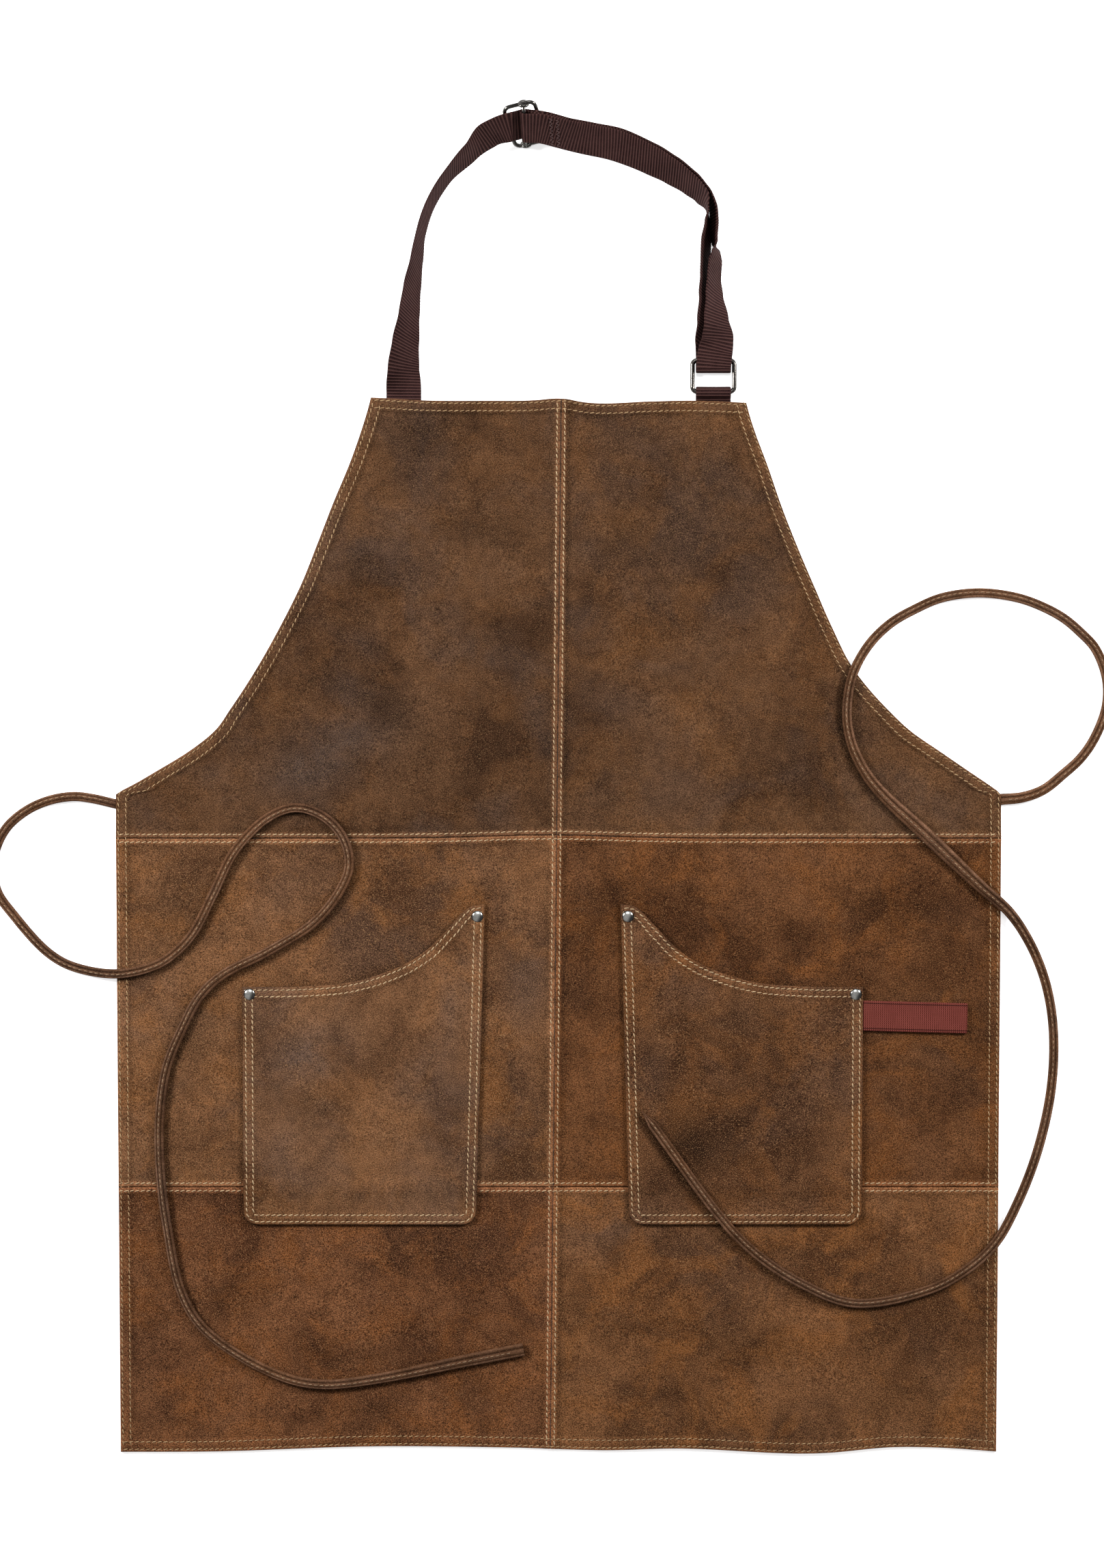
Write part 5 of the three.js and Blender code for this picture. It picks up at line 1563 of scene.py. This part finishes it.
@dataclass
class NeckStrap:
    """The webbing of the neck strap, with its ring and the tab that holds the ring."""

    slider: Slider
    ring_width: float = 33.4
    ring_height: float = 26.0
    ring_wire: float = 3.4
    ring_corner: float = 5.2
    tab_shows: float = 9.8
    tab_slack: float = 0.5
    fold_slack: float = 0.75
    fold_drop: float = 5.4
    rib: float = 2.15
    rib_depth: float = 0.14
    zigzags: tuple[float, float] = (18.6, 23.2)

    @property
    def wrap(self) -> float:
        """Radius of the tab's fold about the ring's lower bar."""
        return self.ring_wire / 2 + GAP + self.tab_slack + WEBBING / 2

    @property
    def low_bar(self) -> float:
        """Height of the ring's lower bar."""
        return BIB_HEIGHT + self.tab_shows - WEBBING / 2 - self.wrap

    @property
    def high_bar(self) -> float:
        """Height of the ring's upper bar."""
        return self.low_bar + self.ring_height - self.ring_wire

    def strap_line(self) -> tuple[Array, Array, Array]:
        """Stations of the whole strap, from under the bib round the ring to its sewn end, and its ribs'
        slopes.

        Returns:
            The middles, the ways to the right-hand edge, and the slopes.
        """
        through, sewn = self.slider.crossing()
        fold = (self.ring_wire + WEBBING + 2 * GAP) / 2 + self.fold_slack
        turn = np.array([90, 45, 0, -45, -90]) * RAD
        at = self.high_bar - self.fold_drop
        round_ring = np.stack([0 * turn + NECK_HALF, at - fold * np.cos(turn),
                               WEBBING / 2 + fold + fold * np.sin(turn)], axis=1)
        left, right, inner = (along_run(run) for run in (OUTER_RUN_LEFT, OUTER_RUN_RIGHT, INNER_RUN))
        runs = [left, through, right, (round_ring, np.broadcast_to([1.0, 0, 0], round_ring.shape)), inner, sewn]
        slopes = [np.interp(left[0][:, 1], *RIBS_LEFT.T), np.zeros(len(through[0])),
                  np.interp(right[0][:, 1], *RIBS_RIGHT.T), np.zeros(len(round_ring)),
                  np.interp(inner[0][:, 0], *RIBS_INNER.T), np.zeros(len(sewn[0]))]
        return np.vstack([run[0] for run in runs]), np.vstack([run[1] for run in runs]), np.concatenate(slopes)

    def strip(self, name: str, middles: Array, rights: Array, slopes: Array) -> bpy.types.Object:
        """A length of webbing with round selvedges and raised ribs, carried along a line.

        The section's height follows 1 + depth·cos(2π·length/rib) along the strip, at an even pace of a
        quarter rib. A ring runs on along the strip by its slope for each millimetre across, so the ribs slant
        on the same surface.

        Args:
            name: the piece's name.
            middles: points along its middle.
            rights: ways to its right-hand edge.
            slopes: slopes of its ribs, seen from above.

        Returns:
            The new piece.
        """
        lengths = np.concatenate([[0], np.cumsum(np.linalg.norm(np.diff(middles, axis=0), axis=1))])
        places = np.linspace(0, lengths[-1], round(lengths[-1] / self.rib * 4) + 1)
        middles = np.stack([np.interp(places, lengths, axis) for axis in middles.T], axis=1)
        rights = np.stack([np.interp(places, lengths, axis) for axis in rights.T], axis=1)
        slopes = np.interp(places, lengths, slopes)
        forward = unit(np.gradient(middles, axis=0))
        across = unit(rights - (rights * forward).sum(1, keepdims=True) * forward)
        face = np.cross(across, forward)
        reach = (np.abs(across[:, 2]) * WEBBING_WIDTH + np.abs(face[:, 2]) * WEBBING) / 2
        middles[:, 2] = np.maximum(middles[:, 2], reach)
        section = strip_section(WEBBING_WIDTH, WEBBING, 1.1, [(-10.6, 0.5, 0.14), (10.6, 0.5, 0.14)], 18)
        ribbed = 1 + self.rib_depth * (np.cos(2 * math.pi * places / self.rib) - 1)
        slant = slopes * np.hypot(across[:, 0], across[:, 1])
        spots = np.clip(places[:, None] + slant[:, None] * section[None, :, 0], 0, places[-1])
        middle, aside, up = (np.stack([np.interp(spots, places, axis) for axis in part.T], axis=-1)
                             for part in (middles, across, face))
        rings = middle + aside * section[None, :, :1] + up * (ribbed[:, None] * section[None, :, 1])[..., None]
        faces = tube_faces(len(rings), len(section), False)
        return lay_mesh(name, put_down(rings.reshape(-1, 3)), faces, uv=strip_uv(middles, section))

    def build(self, finish: WovenStrap, thread: Thread) -> None:
        """Build the strap, the tab, the ring and the zigzags of the sewn end.

        Args:
            finish: the weave's finish.
            thread: the thread's finish.
        """
        stations, rights, slopes = self.strap_line()
        steps = 16
        lines = centripetal(stations, steps), held(rights, steps), held(slopes[:, None], steps)[:, 0]
        piece = self.strip("neck_strap_webbing", *lines)
        material = finish.make()
        finish_piece(piece, material, "webbing", "neck_strap")
        self.build_tab(material)
        rings = WireLoop(self.ring_width, self.ring_height, self.ring_wire, self.ring_corner).rings()
        middle = np.array([NECK_HALF, (self.low_bar + self.high_bar) / 2, WEBBING + GAP + self.ring_wire / 2])
        piece = lay_mesh("ring_wire", put_down(rings.reshape(-1, 3) + middle),
                         tube_faces(len(rings), rings.shape[1], True))
        finish_piece(piece, Metal("gunmetal_ring", rgba(0.12, 0.11, 0.1), 0.22).make(), "wire", "ring")
        self.build_zigzag(thread)

    def build_tab(self, material: bpy.types.Material) -> None:
        """Build the doubled tab: along the floor, round the ring's lower bar and back under the bib.

        Args:
            material: its finish.
        """
        start, low, wrap = BIB_HEIGHT - STRAP_TUCK, WEBBING / 2, self.wrap
        ring_z = WEBBING + GAP + self.ring_wire / 2
        turn = np.linspace(-90, 90, 9) * RAD
        bend = [(self.low_bar + wrap * math.cos(t), ring_z + wrap * math.sin(t)) for t in turn[1:]]
        second = WEBBING + GAP + low
        profile = [(start, low), (BIB_HEIGHT, low), (self.low_bar, low), *bend,
                   (self.low_bar - wrap, ring_z + wrap * 0.6), (BIB_HEIGHT + 1, second), (start, second)]
        flat = np.array(profile)
        stations = np.stack([0 * flat[:, 0] + NECK_HALF, flat[:, 0], flat[:, 1]], axis=1)
        middles = centripetal(stations, 8)
        rights = np.broadcast_to([1.0, 0, 0], middles.shape)
        piece = self.strip("ring_tab_webbing", middles, rights, np.zeros(len(middles)))
        finish_piece(piece, material, "webbing", "ring_tab")

    def build_zigzag(self, thread: Thread) -> None:
        """Two columns of zigzag stitches across the sewn end of the strap.

        Args:
            thread: the thread's finish.
        """
        over = self.slider.wire / 2 + 2 * GAP + WEBBING + 2 * (WEBBING + GAP)
        rows = []
        wire_at = self.slider.wire_at
        for column in self.zigzags:
            place = np.linspace(-WEBBING_WIDTH / 2 + 0.9, WEBBING_WIDTH / 2 - 0.9, 16)
            share = (column - wire_at) / (self.slider.sewn_end - wire_at)
            aside = place - self.slider.sewn_drop * (1 + 5 * share) / 6
            high = over + 0.14 + self.slider.sewn_rise * share
            zigzag = np.stack([column + 1.3 * (-1) ** np.arange(16), aside, 0 * place + high], axis=1)
            points = self.slider.place(zigzag)
            rows += [np.stack([a, (a + b) / 2, b]) for a, b in zip(points[:-1], points[1:])]
        Stitches("thread_strap_end", pitch=3.0, long=2.9, thick=0.3, slant=0.0).build(rows, thread, "webbing")


@dataclass
class SideBand:
    """The elastic loop beside the right pocket, folded flat, with its raised edges."""

    width: float = 21.5
    reach: float = 75.0
    thick: float = 0.8
    below_mouth: float = 20.5
    slope: float = -1.5

    def build(self, finish: WovenStrap) -> bpy.types.Object:
        """Carry its grooved section out along the leather, round the fold and back.

        Args:
            finish: the weave's finish.

        Returns:
            The new piece.
        """
        pocket = POCKETS[1]
        above = np.array(POCKET_HEIGHT - self.below_mouth)
        inner, width = pocket.sides(above)
        start = float(FORM.seam_x(np.array(POCKET_BOTTOM)) + inner + width) - 0.3
        y = POCKET_BOTTOM + float(above)
        slope = math.tan(self.slope * RAD)
        fold = (self.thick + 0.25) / 2
        x = np.linspace(start, start + self.reach - fold - self.thick / 2, 40)
        base = FORM.underside(x, y + slope * (x - start)) + LEATHER + 0.15
        pinch = 0.35 * (1 - smoothstep(x, start, start + 6))
        low = base + self.thick / 2
        turn = np.linspace(-math.pi / 2, math.pi / 2, 9)[1:-1]
        bend_x = x[-1] + fold * np.cos(turn)
        bend_z = low[-1] + fold + fold * np.sin(turn)
        lift = 0.5 * np.sin(np.linspace(0, math.pi, 40))
        path_x = np.concatenate([x, bend_x, x[::-1]])
        path_z = np.concatenate([low, bend_z, (low + 2 * fold + lift - pinch)[::-1]])
        middles = np.stack([path_x, y + slope * (path_x - start), path_z], axis=1)
        across = unit(np.array([slope, -1.0, 0]))
        forward = unit(np.gradient(middles, axis=0))
        acrosses = np.broadcast_to(across, middles.shape)
        grooves = [(-9.0, 0.35, 0.25), (9.0, 0.35, 0.25)]
        section = strip_section(self.width, self.thick, 0.9, grooves, 30)
        rings = carried(section, middles, acrosses, np.cross(acrosses, forward))
        piece = lay_mesh("side_band_elastic", put_down(rings.reshape(-1, 3)),
                         tube_faces(len(rings), len(section), False), uv=strip_uv(middles, section))
        finish_piece(piece, finish.make(), "elastic", "side_band")
        return piece


@dataclass
class Tie:
    """A waist tie: a folded leather lace with one row of thread, laid over whatever is under it.

    It starts a little inside the panel's edge, by a share of its first step, and is broader round one spot: the spot's
    place, the reach of that bell, and the share that it adds to the width.
    """

    name: str
    route: Array
    pointed: bool
    broad: tuple[float, float, float, float]
    tuck: float = 0.25
    width: float = 6.8
    thick: float = 3.6
    pace: float = 2.4

    def middle_line(self) -> Array:
        """Its route held above the leather within reach of it, then smoothed, in plan millimetres.

        Returns:
            The points of its middle.
        """
        tucked = self.route[0] + self.tuck * (self.route[0] - self.route[1])
        route = np.vstack([tucked, self.route]) / MM
        flat = centripetal(np.column_stack([route, np.zeros(len(route))]), 24)
        line, _ = evenly_along(flat, self.pace)
        forward = unit(np.gradient(line, axis=0))
        aside = np.stack([-forward[:, 1], forward[:, 0]], axis=1) * self.width / 2
        spots = line[None, :, :2] + np.array([-1, -0.5, 0, 0.5, 1])[:, None, None] * aside[None]
        high = surface(spots[..., 0], spots[..., 1]).max(0)
        high[:4] = 0
        for turns, combine in ((5, np.maximum.reduce), (4, lambda parts: np.mean(parts, axis=0))):
            padded = np.pad(high, turns, mode="edge")
            high = combine([padded[k:k + len(high)] for k in range(2 * turns + 1)])
        high *= smoothstep(np.arange(len(high)), 0, 3)
        line[:, 2] = high + self.thick / 2 + 0.1
        return line

    def section(self) -> Array:
        """Its section: a rounded strip whose turned edges meet in two grooves, one on each side of the
        thread.

        Returns:
            Places across and up, in order round it.
        """
        turn = np.arange(30) * 2 * math.pi / 30
        out = (np.abs(np.cos(turn)) ** 2.6 + np.abs(np.sin(turn)) ** 2.6) ** (-1 / 2.6)
        across, up = self.width / 2 * out * np.cos(turn), self.thick / 2 * out * np.sin(turn)
        dent = (0.75 * hump(across, -1.25, 0.45) + 0.5 * hump(across, 1.9, 0.4)) * (up > 0)
        return np.stack([across, up - dent], axis=1)

    def build(self, material: bpy.types.Material, thread: Thread) -> bpy.types.Object:
        """Args:
            material: the lace's leather.
            thread: its thread.

        Returns:
            The new piece.
        """
        line = self.middle_line()
        forward = unit(np.gradient(line, axis=0))
        across = unit(np.cross(forward, np.array([0, 0, 1.0])))
        face = np.cross(across, forward)
        section = self.section()
        rings = carried(section, line, across, face)
        x, y, reach, extra = self.broad
        spread = extra * hump(np.hypot(line[:, 0] - x, line[:, 1] - y), 0, reach)
        rings += (spread[:, None] * section[:, 0])[..., None] * across[:, None]
        rings[:, :, 2] *= (0.4 + 0.6 * smoothstep(np.arange(len(line)), 0, 5))[:, None]
        lengths = np.arange(len(line)) * self.pace
        roll = 0.16 * np.sin(lengths / 47.0) + 0.1 * np.sin(lengths / 21.0 + 1)
        rings[:, :, 2] += roll[:, None] * section[None, :, 0] * 0.35
        rings[:, :, 2] += np.maximum(0, 0.1 - rings[:, :, 2].min(1))[:, None]
        if self.pointed:
            shrink = np.clip((len(line) - 1 - np.arange(len(line))) / 5, 0.18, 1)
            rings = line[:, None] + (rings - line[:, None]) * shrink[:, None, None]
        points = put_down(rings.reshape(-1, 3))
        # Painted highlight: the lace is marked lighter with height on its section and along one edge, less in its
        # grooves; painted shade darkens its grooves
        groove = np.clip(0.9 * hump(section[:, 0], -1.25, 0.5) + 0.7 * hump(section[:, 0], 1.9, 0.45), 0, 1)
        ridge = hump(section[:, 0], math.copysign(2.5, -self.route[0, 0]), 0.6)
        high = np.clip(0.1 + 0.9 * section[:, 1] / self.thick + 0.7 * ridge - groove, 0, 1)
        marks = {"wear_and_highlight": np.tile(high, len(line)), "shade": np.tile(groove * (section[:, 1] > 0), len(line))}
        piece = lay_mesh(self.name + "_lace", points, tube_faces(len(rings), len(section), False), marks)
        finish_piece(piece, material, "lace", self.name)
        row = line + across * 0.5 + face * (self.thick / 2 - 0.1)
        sewn = Stitches(self.name + "_thread", pitch=4.0, long=3.1, thick=0.3, slant=0.08)
        sewn.build([row[3:-3]], thread, "lace")
        return piece


# Studio

@dataclass
class Studio:
    """White floor, soft light from both sides, and a camera straight above."""

    scale: float = 0.49
    picture: tuple[int, int] = (1617, 2296)
    middle: tuple[float, float] = (818.0, 1227.0)
    high: float = 2600.0

    def camera(self) -> None:
        """Set the camera over the middle of the picture, its lens taking in the picture's height."""
        width, height = self.picture
        x = (width / 2 - self.middle[0]) * self.scale
        y = (self.middle[1] - height / 2) * self.scale
        data = bpy.data.cameras.new("camera")
        data.sensor_fit = "VERTICAL"
        data.sensor_height = 36.0
        data.lens = 36.0 * self.high / (height * self.scale)
        data.clip_end = 20
        made = bpy.data.objects.new("camera", data)
        made.location = put_down(np.array([x, y, self.high]))
        bpy.context.scene.collection.objects.link(made)
        bpy.context.scene.camera = made

    def light(self, name: str, place: tuple[float, float, float], size: float, power: float) -> None:
        """A square soft light that looks at the middle of the apron.

        Args:
            name: its name.
            place: where it stands, in metres.
            size: its side in metres.
            power: its power in watts.
        """
        data = bpy.data.lights.new(name, "AREA")
        data.shape = "SQUARE"
        data.size = size
        data.energy = power
        made = bpy.data.objects.new(name, data)
        made.location = place
        made.rotation_euler = facing_middle(place)
        bpy.context.scene.collection.objects.link(made)

    def build(self) -> None:
        """Build the floor, the lights and the pale surroundings."""
        world = bpy.data.worlds.new("studio")
        world.use_nodes = True
        world.node_tree.nodes["Background"].inputs["Color"].default_value = rgba(1, 1, 1)
        world.node_tree.nodes["Background"].inputs["Strength"].default_value = 0.28
        bpy.context.scene.world = world
        bpy.context.scene.view_settings.view_transform = "Standard"
        self.light("light_left", (-1.5, 0.6, 0.95), 0.4, 39)
        self.light("light_right", (1.5, 0.8, 0.95), 0.4, 35)
        self.light("light_top", (0.0, 1.2, 1.6), 0.8, 9)
        corners = np.array([(-4, -4, 0), (4, -4, 0), (4, 4, 0), (-4, 4, 0)], dtype=float) * 1000
        floor = lay_mesh("floor", put_down(corners), [np.array([[0, 1, 2, 3]])])
        lit = {"Roughness": 0.9, "Specular_IOR_Level": 0.1, "Emission_Strength": 0.6}
        floor.data.materials.append(Recipe("floor_white").set(rgba(0.97, 0.97, 0.97), **lit))


def facing_middle(place: tuple[float, float, float]) -> tuple[float, float, float]:
    """Turn that points a light's own -Z from a place to the origin."""
    x, y, z = place
    return (0.0, math.atan2(math.hypot(x, y), z), math.atan2(y, x))


def main() -> None:
    """Build the studio and every piece of the apron, in order."""
    logging.basicConfig(level=logging.INFO, format="%(name)s %(message)s")
    Studio().camera()
    stitch = Thread("thread_tan", rgba(0.52, 0.37, 0.21), rgba(0.34, 0.21, 0.11))
    lace_thread = Thread("thread_lace", rgba(0.36, 0.235, 0.13), rgba(0.12, 0.068, 0.036))
    lace = Tone.LACE.value.make()
    Tie("tie_left", TIE_LEFT_ROUTE, False, (-38, -369, 75, 0.38)).build(lace, lace_thread)
    Tie("tie_right", TIE_RIGHT_ROUTE, True, (266, -1, 62, 0.5)).build(lace, lace_thread)
    Studio().build()
    for name, side, low, high, tone in (
            ("bib_left", -1, SEAM_SHUT, BIB_HEIGHT, Tone.BIB_LEFT),
            ("bib_right", 1, SEAM_SHUT, BIB_HEIGHT, Tone.BIB_RIGHT),
            ("waist_left", -1, SEAM_SHUT - WAIST_PANEL, -SEAM_SHUT, Tone.WAIST_LEFT),
            ("waist_right", 1, SEAM_SHUT - WAIST_PANEL, -SEAM_SHUT, Tone.WAIST_RIGHT),
            ("skirt_left", -1, HEM_Y, -WAIST_PANEL - SEAM_SHUT, Tone.SKIRT_LEFT),
            ("skirt_right", 1, HEM_Y, -WAIST_PANEL - SEAM_SHUT, Tone.SKIRT_RIGHT)):
        Panel(name, side, low, high, tone).build()
    rows = body_rows()
    Stitches("thread_seams").build(rows["thread_seams"], stitch)
    hem_thread = Thread("thread_ochre", rgba(0.43, 0.28, 0.14), rgba(0.27, 0.155, 0.07))
    Stitches("thread_hems", thick=0.38).build(rows["thread_hems"], hem_thread)
    for pocket in POCKETS:
        pocket.build()
        Stitches("thread_" + pocket.name).build(pocket_rows(pocket), stitch)
    for name in ("rivet_left_outer", "rivet_left_inner", "rivet_right_inner", "rivet_right_outer"):
        rivet(name)
    elastic = WovenStrap("elastic_red", rgba(0.068, 0.0115, 0.0085), rgba(0.215, 0.056, 0.042),
                         rib_mm=1.5, warp_mm=1.6, line_mm=9.0, crossed=0.75)
    SideBand().build(elastic)
    slider = Slider()
    webbing = WovenStrap("webbing_plum", rgba(0.0085, 0.0022, 0.0026), rgba(0.071, 0.033, 0.029))
    dark = Thread("thread_dark", rgba(0.085, 0.042, 0.038), rgba(0.035, 0.014, 0.014))
    NeckStrap(slider).build(webbing, dark)
    slider.build()


if __name__ == "__main__":
    main()
